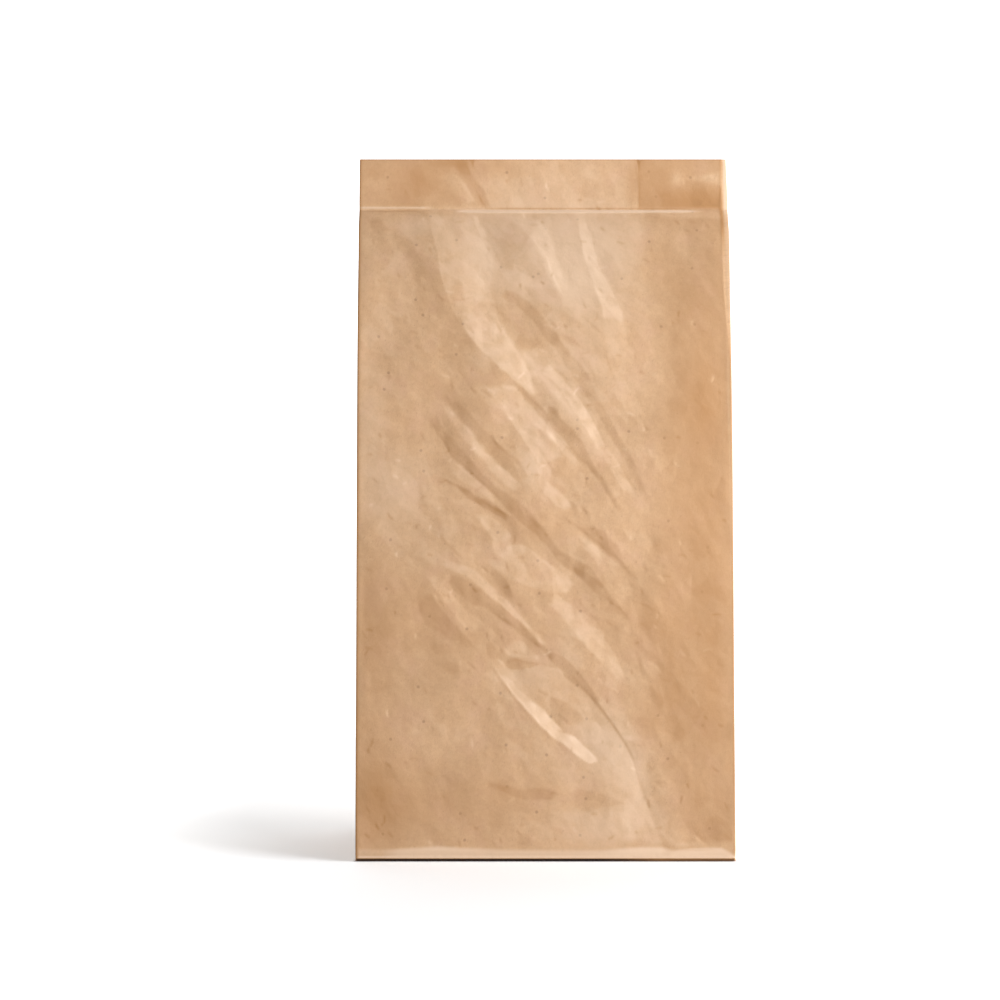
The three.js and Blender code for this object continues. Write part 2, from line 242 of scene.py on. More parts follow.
FACETS = {
    # the shoulder, which sweeps down from the band on the left
    "shoulder": Facet(
        [(428, 212), (431, 226), (434, 241), (438, 258), (441, 275), (446, 290), (452, 303), (459, 318),
         *SHOULDER_SIDE],
        [(472, 213), (479, 228), (487, 243), (496, 258), (496, 272), (493, 288), (498, 306), (506, 322),
         (514, 338), (522, 353), (531, 370), (539, 392)], 4, (0.5, 5)),
    "shoulder_bright": Facet(
        [(460, 319), *SHOULDER_SIDE],
        [(474, 316), (490, 318), (504, 328), (514, 342), (522, 355), (531, 372), (537, 395)], 5, (0.5, 3)),
    "shoulder_spark": Facet(
        [(471, 213), (474, 222), (478, 232), (483, 240)], [(475, 213), (481, 224), (487, 233), (489, 240)],
        6, (1, 1.5)),
    "hollow": Facet(
        [(398, 238), (404, 262), (410, 290), (417, 312), (427, 332), (442, 348), (458, 356)],
        [(433, 232), (438, 258), (441, 275), (446, 290), (452, 303), (459, 318), (468, 333), (476, 345)],
        -1, (6, 0.6)),
    "hollow_core": Facet(
        [(413, 268), (416, 288), (421, 306), (430, 318)], [(428, 268), (437, 282), (445, 298), (447, 310)],
        -2, (3, 2)),
    "hollow_foot": Facet(
        [(425, 318), (437, 340), (446, 362), (458, 385)], [(462, 320), (474, 345), (470, 362), (474, 382)],
        -1.6, (3, 2.5)),
    "left_dent": Facet([(367, 218), (370, 228), (380, 236)], [(375, 216), (385, 222), (392, 232)], -6),
    "left_drift": Facet(
        [(385, 222), (395, 245), (405, 262)], [(402, 228), (418, 250), (430, 268)], -3, (5, 5)),
    # the collar, under the middle of the band
    "collar_valley": Facet(
        [(476, 216), (484, 230), (493, 242), (502, 254), (512, 264), (524, 273), (535, 280)],
        [(498, 215), (510, 220), (522, 230), (531, 240), (538, 251), (543, 263), (547, 277)], -1.6,
        (4, 0.8)),
    "collar_valley_core": Facet(
        [(503, 232), (508, 243), (517, 256), (527, 262)], [(518, 230), (527, 240), (533, 250), (536, 260)],
        -1, (3, 2)),
    "collar_light": Facet(
        [(500, 214), (512, 220), (523, 230), (532, 240), (539, 251), (544, 263), (548, 277), (556, 290)],
        [(528, 214), (541, 220), (551, 232), (556, 246), (560, 262), (566, 278), (574, 294)], 3.2,
        (0.8, 4)),
    "collar_floor": Facet(
        [(498, 268), (505, 280), (517, 289)], [(515, 266), (535, 280), (549, 292)], 3, (3, 3)),
    "collar_streak": Facet(
        [(576, 220), (580, 240), (583, 256), (588, 270), (593, 285), (598, 300), (604, 320)],
        [(586, 219), (592, 236), (596, 252), (600, 266), (606, 278), (613, 291), (620, 305), (627, 325)],
        4.5, (1.5, 1.5)),
    "collar_right": Facet(
        [(598, 300), (602, 330), (606, 360)], [(618, 300), (628, 330), (630, 360)], 2.5, (4, 4)),
    # the long sweeps of the upper half
    "sweep_head": Facet(
        [(497, 297), (508, 301), (518, 308), (527, 316), (535, 325), (543, 336), (550, 346)],
        [(504, 289), (515, 291), (526, 299), (536, 308), (546, 319), (556, 331), (564, 342)], -6,
        (1.5, 2.5)),
    "sweep": Facet(
        [(548, 340), (556, 352), (563, 363), (571, 375), (578, 386), (586, 398), (593, 409), (600, 420),
         (607, 432)],
        [(553, 330), (563, 343), (572, 354), (581, 363), (588, 373), (594, 387), (600, 400), (607, 413),
         (616, 428)], -4, (2, 1.5)),
    "sweep_tail": Facet(
        [(604, 428), (612, 441), (620, 453), (627, 466), (633, 479), (640, 494)],
        [(614, 424), (622, 439), (630, 452), (637, 466), (642, 480), (648, 497)], -4.5, (1.5, 2.5)),
    "leaf": Facet(
        [(541, 372), (553, 382), (562, 393), (569, 405), (577, 416), (584, 428), (591, 440), (598, 450)],
        [(546, 362), (558, 373), (570, 387), (580, 400), (588, 412), (595, 425), (601, 437), (606, 448)],
        7, (1.5, 0.7)),
    "leaf_tail": Facet(
        [(598, 450), (605, 461), (612, 474), (619, 486), (626, 500)],
        [(606, 446), (616, 459), (625, 474), (632, 487), (640, 501)], 4, (1.5, 1.5)),
    "neck": Facet(
        [(484, 386), (496, 397), (503, 408), (509, 418), (516, 429), (524, 441), (532, 453), (540, 466)],
        [(500, 384), (516, 386), (524, 397), (534, 407), (544, 419), (552, 432), (560, 447), (565, 460)],
        7, (0.5, 2.5)),
    "middle_sweep": Facet(
        [(545, 417), (554, 431), (563, 439), (571, 450), (581, 461), (589, 469), (596, 478), (603, 489),
         (611, 501), (619, 514)],
        [(547, 403), (557, 411), (565, 422), (577, 433), (584, 444), (591, 458), (598, 470), (606, 483),
         (616, 497), (624, 511)], -7, (0.5, 2)),
    "under_middle": Facet(
        [(541, 430), (553, 444), (566, 459), (578, 470)], [(549, 428), (560, 441), (572, 453), (584, 466)],
        5, (3, 0.8)),
    "small_leaf": Facet(
        [(541, 490), (552, 503), (566, 513)], [(543, 478), (556, 488), (567, 499), (575, 512)], 7,
        (1.5, 1.2)),
    "small_patch": Facet([(548, 468), (556, 480)], [(556, 464), (565, 476)], -4, (1.5, 1.5)),
    # the fan, from the left edge of the middle
    "fan_first": Facet(
        [(440, 397), (448, 406), (456, 414), (464, 425), (472, 433), (480, 443), (488, 453), (496, 462),
         (505, 471), (520, 484)],
        [(443, 391), (452, 399), (463, 406), (474, 418), (486, 430), (496, 440), (508, 452), (518, 459),
         (524, 468), (530, 480)], -5, (2.5, 1)),
    "fan_light": Facet(
        [(441, 402), (446, 416), (453, 426), (461, 438), (471, 449), (481, 461), (491, 473), (502, 483),
         (515, 494)],
        [(447, 404), (459, 417), (471, 431), (481, 445), (491, 456), (501, 466), (512, 476), (525, 488)],
        5, (3, 1.5)),
    "fan_second": Facet(
        [(426, 418), (434, 429), (441, 440), (447, 449), (453, 458), (461, 464), (469, 472), (479, 481),
         (489, 491), (498, 499), (505, 507), (514, 517), (525, 526), (538, 537), (548, 548), (557, 560),
         (566, 568), (577, 575), (585, 584)],
        [(437, 411), (442, 424), (449, 433), (457, 441), (465, 451), (474, 461), (482, 471), (492, 481),
         (502, 489), (516, 498), (527, 507), (535, 516), (546, 529), (556, 545), (567, 553), (579, 560),
         (590, 566)], -8, (0.6, 3)),
    "fan_second_tail": Facet(
        [(566, 566), (577, 575), (585, 583), (592, 591), (598, 600), (600, 612)],
        [(577, 560), (589, 565), (596, 574), (604, 585), (612, 596), (622, 607), (633, 621)], -6, (2, 1.5)),
    "fan_strip": Facet(
        [(446, 468), (462, 483), (478, 491), (492, 502), (506, 513)],
        [(447, 456), (458, 464), (470, 475), (482, 485), (495, 498), (506, 511)], 3.5, (1.5, 0.8)),
    "fan_third": Facet(
        [(440, 478), (452, 485), (462, 492), (469, 500), (480, 506), (492, 513), (508, 522)],
        [(444, 476), (456, 484), (468, 488), (476, 495), (488, 499), (497, 506), (510, 516)], -12,
        (1, 1.5)),
    "under_fan": Facet(
        [(470, 510), (480, 524), (492, 541), (498, 545)], [(484, 512), (497, 520), (510, 532), (517, 541)],
        6, (3, 1)),
    "swell": Facet(
        [(484, 561), (497, 572), (512, 582), (528, 588), (545, 592), (560, 594), (572, 592)],
        [(502, 548), (516, 543), (531, 548), (545, 560), (557, 567), (568, 575), (575, 585)], 6, (3, 1.5)),
    "below_fan": Facet(
        [(546, 603), (558, 616), (570, 630), (582, 645), (596, 660), (609, 673), (616, 684)],
        [(553, 590), (571, 604), (587, 614), (601, 626), (607, 640), (614, 652), (621, 665), (626, 680)],
        6, (4, 1.5)),
    "twig_shade": Facet(
        [(575, 525), (590, 537), (600, 544), (611, 554), (619, 560)],
        [(588, 523), (603, 531), (615, 541), (622, 552), (624, 561)], -6, (0.7, 3)),
    "twig_light": Facet(
        [(574, 535), (590, 550), (603, 563)], [(577, 529), (591, 541), (603, 550), (611, 558)], 4,
        (2, 0.8)),
    "between_light": Facet(
        [(578, 546), (592, 558), (601, 574), (611, 589), (624, 605)],
        [(590, 541), (604, 553), (618, 563), (627, 577), (633, 593)], 4.5, (1.5, 1.5)),
    "twig_foot": Facet(
        [(629, 573), (632, 590), (633, 606), (639, 622), (648, 634)],
        [(635, 578), (647, 590), (657, 602), (662, 616), (658, 630)], -4, (1.5, 4)),
    # the keel, the long crease of the lower half, and what lies along it
    "keel_light": Facet(
        [(440, 563), (451, 571), (463, 575), (476, 584), (488, 595), (500, 605), (513, 616), (523, 625),
         (534, 637), (546, 649)],
        [(446, 559), (460, 563), (471, 567), (482, 575), (492, 584), (502, 594), (513, 605), (524, 618),
         (536, 631), (549, 644)], 7, (1, 2)),
    "keel_shade": Facet(
        [(446, 577), (452, 590), (462, 598), (474, 606), (484, 608), (494, 615), (504, 622), (514, 630),
         (524, 638), (534, 644), (545, 655), (556, 666)],
        [(449, 573), (461, 577), (473, 583), (484, 592), (496, 601), (509, 612), (521, 622), (531, 633),
         (543, 645), (556, 656)], -6.4, (2, 0.6)),
    "keel_middle": Facet(
        [(546, 658), (556, 667), (564, 677), (574, 685), (585, 694), (597, 706)],
        [(549, 646), (560, 655), (572, 662), (581, 674), (592, 688), (602, 700)], -7, (1.5, 1.5)),
    "keel_left": Facet(
        [(598, 765), (604, 790), (606, 820), (608, 845)],
        [(622, 740), (634, 763), (640, 788), (648, 806), (657, 832), (662, 846)], 3, (6, 0.7)),
    "keel_right": Facet(
        [(625, 740), (636, 763), (642, 788), (650, 806), (658, 830), (665, 856)],
        [(648, 740), (660, 765), (668, 795), (676, 820), (684, 850)], -2, (0.7, 8)),
    "inner_facet": Facet(
        [(488, 571), (495, 583), (502, 593), (511, 601)], [(492, 568), (505, 576), (511, 587), (516, 599)],
        -6),
    "left_ridge": Facet(
        [(424, 573), (434, 588), (444, 601), (454, 614), (463, 626), (476, 634)],
        [(431, 572), (446, 581), (452, 592), (460, 601), (468, 611), (480, 618), (486, 627)], 5,
        (0.8, 1.5)),
    "left_ridge_shade": Facet(
        [(416, 596), (418, 612), (424, 626), (436, 633), (450, 641), (463, 648)],
        [(430, 590), (438, 603), (448, 616), (459, 628), (470, 640), (478, 650)], -6, (4, 1)),
    "left_patch": Facet([(428, 645), (437, 655), (452, 657)], [(433, 641), (448, 643), (458, 652)], -4),
    "left_patch_low": Facet([(437, 662), (448, 675), (460, 675)], [(443, 660), (456, 661), (463, 672)], -4),
    "middle_patch": Facet(
        [(484, 640), (487, 655), (495, 662)], [(489, 638), (497, 648), (505, 657)], -5, (1.5, 1.5)),
    "cup": Facet(
        [(502, 645), (508, 656), (524, 658), (541, 661)], [(510, 640), (522, 640), (532, 650), (543, 659)],
        7, (1.5, 1.5)),
    "lens": Facet(
        [(500, 664), (513, 669), (528, 668), (541, 664)], [(503, 662), (514, 658), (528, 661), (541, 663)],
        -8, (0.5, 0.6)),
    "spoon": Facet(
        [(492, 661), (499, 673), (507, 686), *SPOON_SIDE],
        [(503, 672), (515, 684), (527, 695), (537, 702), (546, 711), *SPOON_BACK], 5, (0.5, 1.2)),
    "spoon_bright": Facet(
        SPOON_SIDE, [(527, 698), (537, 704), (546, 712), *SPOON_BACK], 8, (0.5, 1.0)),
    "spoon_hollow": Facet(
        [(546, 703), (556, 715), (566, 723), (580, 727)],
        [(549, 694), (561, 698), (572, 705), (582, 713), (587, 722)],
        -5.5, (1.5, 3)),
    "cheek": Facet(
        [(641, 660), (645, 671), (652, 678), (660, 678)], [(645, 659), (655, 663), (661, 671), (662, 677)],
        5, (0.8, 0.8)),
    "cheek_shade": Facet([(641, 686), (650, 700), (660, 712)], [(650, 682), (661, 695), (668, 707)], -4),
    # the foot
    "smear": Facet(
        [(480, 783), (500, 791), (516, 798), (535, 801), (555, 799)],
        [(490, 780), (506, 784), (522, 788), (538, 786), (560, 790)], -6, (1, 3)),
    "smear_core": Facet(
        [(533, 796), (545, 800), (558, 798)], [(535, 788), (547, 789), (558, 793)], -4, (1, 1)),
    "wedge": Facet(
        [(566, 800), (585, 812), (606, 807), (629, 805)], [(575, 788), (598, 790), (618, 797), (629, 803)],
        -3.6, (0.8, 4)),
    "foot_light": Facet(
        [(505, 808), (508, 825), (512, 842)], [(600, 808), (640, 815), (655, 842)], 2.4, (5, 3)),
    "corner_shade": Facet(
        [(700, 824), (708, 838), (720, 847), (732, 850)], [(706, 816), (722, 818), (732, 830), (732, 848)],
        -3.4, (5, 0.8)),
    "corner_light": Facet(
        [(660, 832), (672, 846), (700, 847), (722, 848)], [(690, 828), (702, 838), (714, 844), (726, 848)],
        3, (2, 1)),
    "left_dim": Facet(
        [(362, 560), (362, 700)], [(385, 556), (400, 600), (398, 650), (395, 690)], -2, (3, 6)),
    # the band: the gussets' folds press through it
    "band_facet": Facet(
        [(438, 178), (452, 180), (460, 188), (468, 196), (474, 204)],
        [(458, 176), (466, 183), (472, 192), (479, 204)],
        2.5, (3, 1)),
    "band_patch": Facet(
        [(451, 164), (457, 172), (466, 178)], [(466, 161), (470, 170), (472, 178)], -2, (1, 1)),
    "band_fold": Facet(
        [(473, 178), (477, 192), (481, 207)], [(478, 180), (486, 193), (491, 208)], -4, (1, 1.5)),
}

# Painted light and shade where the paper looks deeper or paler in colour because it is turned away from the
# light,
# turned to it, or lies in shade: each has a tone in place of a tilt
TONES = {
    "band_streak": Facet(
        [(684, 180), (700, 184), (712, 186), (723, 188)], [(684, 177), (700, 173), (712, 171), (723, 169)],
        0.4, (2.5, 2.5)),
    "right_side": Facet(
        [(636, 214), (641, 260), (645, 310), (645, 360), (640, 420), (637, 480), (636, 560), (637, 640),
         (640, 700),
         (648, 760), (662, 845)],
        [(722, 216), (723, 260), (726, 310), (728, 380), (730, 450), (731, 520), (732, 600), (733, 680),
         (733, 740),
         (734, 845)], -0.4, (18, 1)),
    "band_right": Facet([(636, 155), (638, 180), (638, 211)], [(724, 155), (724, 211)], -0.6, (0.5, 0.5)),
    "band_right_low": Facet([(655, 190), (660, 213)], [(724, 184), (724, 213)], -0.1, (4, 1)),
    "band_left": Facet(
        [(361, 155), (361, 209)], [(467, 155), (473, 180), (480, 194), (489, 209)], -0.3, (0.5, 0.8)),
    "band_facet": Facet(
        [(432, 178), (444, 184), (454, 194), (462, 207)],
        [(450, 170), (462, 178), (470, 190), (478, 206)], 0.24, (4, 0.8)),
    "band_patch": Facet(
        [(451, 163), (457, 172), (466, 178)], [(466, 160), (470, 170), (473, 178)], -0.18, (2, 0.8)),
    "band_fold": Facet(
        [(473, 178), (477, 192), (481, 209)], [(478, 180), (486, 193), (492, 209)], -0.22, (1, 1.5)),
    "left_notch": Facet(
        [(467, 156), (470, 163), (473, 170)], [(479, 156), (475, 163), (474, 170)], -0.5, (1, 1)),
    "right_notch": Facet(
        [(634, 156), (637, 165), (639, 173)], [(643, 156), (641, 165), (640, 173)], -0.4, (1, 1)),
}
# Along the base, by pixels: the painted light on the folded strip, and the painted shadow in the gap under
# the paper's edge
FOOT_TONES = [(357, 0.3), (380, 0.2), (398, 0.75), (450, 0.8), (480, 0.7), (570, 0.7), (600, 0.85), (635, 1),
              (661, 1), (668, 0.8), (676, 1), (692, 1), (715, 0.85), (733, 0.9)]
GAP_TONES = [(357, -1.9), (400, -2), (600, -2), (632, -1.8), (648, -1.6), (661, -1.4), (675, -1.5),
             (733, -1.55)]
# and the height in millimetres to which the strip's painted light reaches
FOOT_TOPS = [(357, 6.4), (395, 6.4), (440, 7.6), (500, 6), (600, 5.6), (640, 7.2), (664, 7), (672, 5.6),
             (700, 6), (722, 6.8), (728, 5.2), (733, 4)]
# Along the right-hand edge, by height in millimetres: the painted shade on the panel's edge, and the painted
# light and shade on the ledge beside it
RIGHT_EDGE_TONES = [(0, -0.5), (40, -0.95), (120, -0.95), (160, -0.5), (240, -0.6), (262, -0.15),
                    (287, -0.15), (298, -0.6), (307, -1.15), (318, -1.0), (328, -0.1), (338, -0.5)]
LEDGE_TONES = [(0, -0.7), (40, -1.0), (120, -1.0), (160, -0.7), (235, -0.6), (260, 0.1), (300, 0.15),
               (309, 0.1), (316, 0.75), (340, 0.65)]

# Painted light and shade along fine lines: shade along the band's folds, above and below the crease and along
# the foot's fold, and a painted highlight along the foot's corner
TONE_LINES = {
    "band_right_edge": Line([(635, 158), (637, 175), (638.5, 190), (639, 212)], -0.35, 0.7),
    "band_fold_edge": Line(
        [(468, 158), (470, 170), (474, 180), (477, 192), (482, 202), (488, 210)], -0.25, 0.7),
    "crease_shade": Line([(364, 211.4), (390, 211.2), (428, 210.4)], -0.4, 0.5),
    "crease_top_shade": Line([(484, 208.6), (560, 208.8), (690, 209)], -0.6, 0.45),
    "foot_corner": Line(
        [(676, 851), (690, 849.5), (706, 848.5), (718, 849), (727, 852), (731, 857)], 0.6, 0.5),
    "foot_fold": Line([(663, 842), (665, 850), (666, 857)], -0.25, 0.45),
}

LINES = {
    "shoulder_rim": Line([(439, 262), (443, 282), (450, 301), (458, 318), (468, 334), (480, 349)], 6, 0.45),
    "shoulder_nick": Line([(451, 299), (461, 300), (475, 297)], -6, 0.45),
    "neck_rim": Line([(484, 386), (494, 396), (503, 409), (511, 421)], 6, 0.45),
    "lens_edge": Line([(503, 665), (514, 660), (528, 662), (542, 664), (556, 668)], -6, 0.4),
    "spoon_rim": Line([(492, 662), (501, 676), (513, 692), (526, 707), (540, 723), (556, 739)], 6, 0.45),
    "spoon_outside": Line(
        [(489, 662), (498, 676), (510, 693), (523, 709), (537, 725), (552, 739)], -4, 0.5),
    "spoon_nick": Line([(537, 689), (542, 692), (549, 695)], -8, 0.45),
    "fan_rim": Line([(450, 458), (462, 468), (476, 480), (490, 492), (502, 503)], 5, 0.4),
    "hook_tip": Line([(483, 384), (487, 388), (493, 392)], 6, 0.4),
    "corner_cut": Line([(692, 831), (703, 840), (714, 846), (724, 850)], -6, 0.5),
    "sweep_light": Line(
        [(508, 336), (520, 350), (532, 364), (545, 380), (556, 393), (568, 408), (580, 424), (592, 441),
         (600, 455)],
        8, 2.2),
    "collar_step": Line([(546, 255), (550, 268), (555, 280), (563, 296)], 6),
    "hook": Line([(480, 389), (486, 393), (492, 397)], -8),
    "fan_first_edge": Line([(490, 434), (494, 441), (500, 448), (508, 454)], -9),
    "fan_second_edge": Line(
        [(455, 459), (463, 465), (472, 473), (481, 481), (490, 489), (498, 497), (504, 505)], -6),
    "fan_tail_edge": Line([(597, 590), (605, 597), (613, 603), (620, 609), (626, 615), (632, 623)], -6),
    "fan_third_head": Line([(437, 477), (448, 482), (461, 488)], -5),
    "fan_third_tail": Line([(480, 499), (492, 507), (504, 513), (514, 519)], -10),
    "fan_fine": Line([(438, 532), (445, 541), (455, 551), (465, 560)], -6),
    "fan_short": Line([(415, 503), (424, 506), (434, 505)], -4),
    "middle_head": Line([(519, 388), (527, 397), (536, 404), (543, 411), (549, 420)], -7),
    "middle_knot": Line([(590, 470), (595, 475), (600, 480)], -6),
    "middle_fine": Line([(530, 438), (540, 449), (548, 463), (557, 474)], -4),
    "sweep_fine": Line([(603, 346), (607, 360), (612, 373), (617, 386), (620, 394)], -4),
    "sweep_fine_upper": Line([(580, 313), (587, 320), (594, 327), (602, 333)], -4),
    "sweep_tail_edge": Line([(624, 474), (630, 482), (636, 490)], -4),
    "twig": Line(
        [(564, 516), (575, 525), (590, 537), (600, 545), (610, 554), (619, 560), (627, 570), (633, 579)],
        -10),
    "twig_hair": Line([(633, 602), (642, 604), (650, 608), (656, 615)], -4),
    "keel_line_upper": Line([(492, 611), (500, 617), (508, 622), (516, 628)], -8),
    "keel_line_middle": Line([(529, 639), (536, 644), (541, 648)], -6),
    "keel_gleam": Line([(546, 666), (557, 670), (568, 675), (576, 682)], 5),
    "keel": Line(
        [(572, 676), (587, 692), (597, 704), (607, 717), (615, 728), (623, 740), (630, 752), (636, 765)],
        -13, 0.5),
    "keel_foot": Line([(634, 762), (638, 776), (642, 788), (648, 803), (655, 817)], -4, 0.7),
    "keel_end": Line([(652, 812), (659, 832), (663, 850), (665, 857)], -0.8, 0.8),
    "patch_line": Line([(466, 661), (471, 665), (477, 670)], -8),
    "cheek_gleam": Line([(641, 660), (650, 662), (657, 667), (662, 673)], 5),
    "cheek_edge": Line([(634, 648), (638, 657), (641, 668), (644, 680)], -6),
    "low_nick": Line([(656, 780), (660, 784), (664, 788)], -6),
}

# ---- Curves and fields on a panel ----
SPLINE_STEPS = 4  # short stretches of a smoothed track between two of its points
END_FADE = 3.0  # mm in which a facet's tilt grows from its two ends
LINE_REACH = 3  # half widths, past which a line's tilt is left out
WAVES = 14  # in a ripple
WAVE_SPREAD = 0.7, 1.5  # the least and the greatest share of a ripple's wavelength that its waves have


def smooth_track(points):
    """A curve through all the points: a Catmull-Rom spline, with the end points repeated."""
    padded = np.vstack([2 * points[0] - points[1], points, 2 * points[-1] - points[-2]])
    t = np.linspace(0, 1, SPLINE_STEPS, endpoint=False)[:, None]
    pieces = []
    for a, b, c, d in zip(padded, padded[1:], padded[2:], padded[3:]):
        pieces.append(0.5 * (2 * b + (c - a) * t + (2 * a - 5 * b + 4 * c - d) * t**2
                             + (3 * b - a - 3 * c + d) * t**3))
    return np.vstack([*pieces, points[-1:]])


def to_stretches(x, z, start, end):
    """For each point and each straight stretch: the share along the stretch of its nearest point, and how far
    away that is."""
    step = end - start
    dx, dz = x[:, None] - start[:, 0], z[:, None] - start[:, 1]
    share = np.clip((dx * step[:, 0] + dz * step[:, 1]) / np.maximum((step**2).sum(axis=1), TINY), 0, 1)
    return share, np.hypot(dx - share * step[:, 0], dz - share * step[:, 1])


def near(x, z, track, reach):
    """The points that lie in the box round a track, grown by a reach."""
    low, high = track.min(axis=0) - reach, track.max(axis=0) + reach
    return np.flatnonzero((x > low[0]) & (x < high[0]) & (z > low[1]) & (z < high[1]))


def facet_tilt(x, z, lower_left, upper_right, tilt, fade):
    """A facet's tilt at the points of the panel: a smooth step of the distance to its outline, measured in
    the fade of the nearest side. A point is inside where a line to its right meets the outline an odd number
    of times."""
    outline = np.vstack([lower_left, upper_right[::-1]])
    following = np.roll(outline, -1, axis=0)
    counts = [len(lower_left) - 1, 1, len(upper_right) - 1, 1]
    fades = np.repeat([fade[0], END_FADE, fade[1], END_FADE], counts)
    at = near(x, z, outline, 0)
    px, pz = x[at], z[at]
    _, gap = to_stretches(px, pz, outline, following)
    crosses = (outline[:, 1] > pz[:, None]) != (following[:, 1] > pz[:, None])
    rise = np.where(following[:, 1] == outline[:, 1], 1, following[:, 1] - outline[:, 1])
    meets = outline[:, 0] + (pz[:, None] - outline[:, 1]) * (following[:, 0] - outline[:, 0]) / rise
    inside = (crosses & (px[:, None] < meets)).sum(axis=1) % 2 == 1
    result = np.zeros_like(x)
    result[at] = np.where(inside, tilt * smoothstep((gap / fades).min(axis=1)), 0)
    return result


def line_tilt(x, z, track, tilt, half_width):
    """A line's tilt: a bell curve of the distance to its track, times the square root of a half sine wave
    along it."""
    at = near(x, z, track, LINE_REACH * half_width)
    share, gap = to_stretches(x[at], z[at], track[:-1], track[1:])
    nearest = gap.argmin(axis=1)
    pick = np.arange(len(at)), nearest
    along = (nearest + share[pick]) / (len(track) - 1)
    result = np.zeros_like(x)
    result[at] = tilt * np.exp(-((gap[pick] / half_width) ** 2)) * np.sqrt(np.sin(math.pi * along))
    return result


def facet_field(x, z, facet, crispness=1):
    """The tilt or the tone of a named facet."""
    sides = [smooth_track(on_panel(track)) for track in (facet.lower_left, facet.upper_right)]
    return facet_tilt(x, z, *sides, facet.tilt, np.multiply(facet.fade, crispness))


def line_field(x, z, line):
    """The tilt or the tone of a named line."""
    return line_tilt(x, z, smooth_track(on_panel(line.track)), line.tilt, line.half_width)


def patch_tone(x, z, patch):
    middle, corner = on_panel([patch.middle, np.add(patch.middle, patch.reach)])
    wide, high = corner - middle
    return patch.tone * bell(x - middle[0], wide) * bell(z - middle[1], high)


def ripple(x, z, wavelength, height, seed):
    """A smooth unevenness: the sum of sine waves of about one wavelength, in random directions and phases,
    divided by the square root of their number."""
    draw = np.random.default_rng(seed)
    total = np.zeros_like(x)
    for _ in range(WAVES):
        angle, phase = draw.uniform(0, 2 * math.pi, 2)
        pitch = 2 * math.pi / (wavelength * draw.uniform(*WAVE_SPREAD))
        total += np.sin(pitch * (x * math.cos(angle) + z * math.sin(angle)) + phase)
    return height * total / math.sqrt(WAVES)


# ---- Scattered creases ----
@dataclass
class Scatter:
    """Creases scattered at random: how many, and the least and greatest half length, in mm, and tilt, in
    degrees. Each tilt is to the light or away from it."""

    count: int
    half_length: tuple
    tilt: tuple
    seed: int


SMALL_FACETS = Scatter(620, (2.0, 7.0), (0.8, 2.6), 28)
SMALL_BULGE, BULGE_SHARE = (0.8, 2.4), (0.2, 1.2)  # half width in mm, and the share of it on either side
WIDE_FACETS = Scatter(200, (4, 14), (0.8, 2.2), 61)
WIDE_BULGE, WIDE_BEND = (1.5, 6), 1.5  # mm
NICKS = Scatter(300, (0.8, 2.6), (4, 13), 73)
NICK_BEND, NICK_HALF_WIDTH = 0.35, 0.5  # mm
SCATTERED_FADE = (0.5, 1.2)  # mm
CRUMPLE_SPINE = [(455, 235), (500, 330), (535, 440), (560, 560), (590, 680), (610, 780)]
CRUMPLE_SPREAD, CRUMPLE_SQUAT = 34.0, 0.8  # mm to either side of the spine, and the share of it up and down
# The mean slope of the small facets in the middle of the panel, how much it grows over the panel's width, and
# its spread; and the mean slope of the nicks and its spread, all in degrees
CREASE_SLOPE, CREASE_STEEPENING, CREASE_TURN = 48, 26, 14
NICK_SLOPE, NICK_TURN = 40, 38


def ways(slope):
    """Unit steps along a slope that goes down to the right, and across it."""
    return np.array([math.cos(slope), -math.sin(slope)]), np.array([math.sin(slope), math.cos(slope)])


def leaf(middle, along, low, high):
    """The two sides of a leaf shape, from tip to tip through a low and through a high point."""
    return [smooth_track(np.array([middle - along, through, middle + along])) for through in (low, high)]


def small_facets():
    """Small facets scattered about the spine of the crumpled part, longer than wide. They slope down to the
    right, more steeply towards the right-hand side."""
    draw = np.random.default_rng(SMALL_FACETS.seed)
    spine = smooth_track(on_panel(CRUMPLE_SPINE))
    for _ in range(SMALL_FACETS.count):
        middle = spine[draw.integers(len(spine))] + draw.normal(0, CRUMPLE_SPREAD, 2) * (1, CRUMPLE_SQUAT)
        steepness = CREASE_SLOPE + CREASE_STEEPENING * middle[0] / WIDTH + draw.normal(0, CREASE_TURN)
        along, off = ways(math.radians(steepness))
        along = along * draw.uniform(*SMALL_FACETS.half_length)
        bulge = off * draw.uniform(*SMALL_BULGE) * draw.uniform(*BULGE_SHARE, (2, 1))
        turned = draw.choice([-1, 1]) * draw.uniform(*SMALL_FACETS.tilt)
        yield *leaf(middle, along, middle - bulge[0], middle + bulge[1]), turned


def wide_facets():
    """Wider, fainter facets scattered over the whole panel in all directions."""
    draw = np.random.default_rng(WIDE_FACETS.seed)
    for _ in range(WIDE_FACETS.count):
        middle = draw.uniform((-WIDTH / 2, 5), (WIDTH / 2, HEIGHT - 2))
        along, off = ways(draw.uniform(-math.pi / 2, math.pi / 2))
        along = along * draw.uniform(*WIDE_FACETS.half_length)
        bulge = off * draw.uniform(*WIDE_BULGE, (2, 1))
        bent = middle + off * draw.normal(0, WIDE_BEND)
        turned = draw.choice([-1, 1]) * draw.uniform(*WIDE_FACETS.tilt)
        yield *leaf(middle, along, bent - bulge[0], bent + bulge[1]), turned


def nicks():
    """Short fine creases scattered over the whole panel, most of them sloping down to the right, and three in
    four turned away from the light."""
    draw = np.random.default_rng(NICKS.seed)
    for _ in range(NICKS.count):
        middle = draw.uniform((-WIDTH / 2 + 3, 8), (WIDTH / 2 - 3, HEIGHT - 4))
        along, _ = ways(math.radians(NICK_SLOPE + draw.normal(0, NICK_TURN)))
        along = along * draw.uniform(*NICKS.half_length)
        bent = middle + draw.normal(0, NICK_BEND, 2)
        track = smooth_track(np.array([middle - along, bent, middle + along]))
        yield track, draw.choice([-1, -1, -1, 1]) * draw.uniform(*NICKS.tilt)


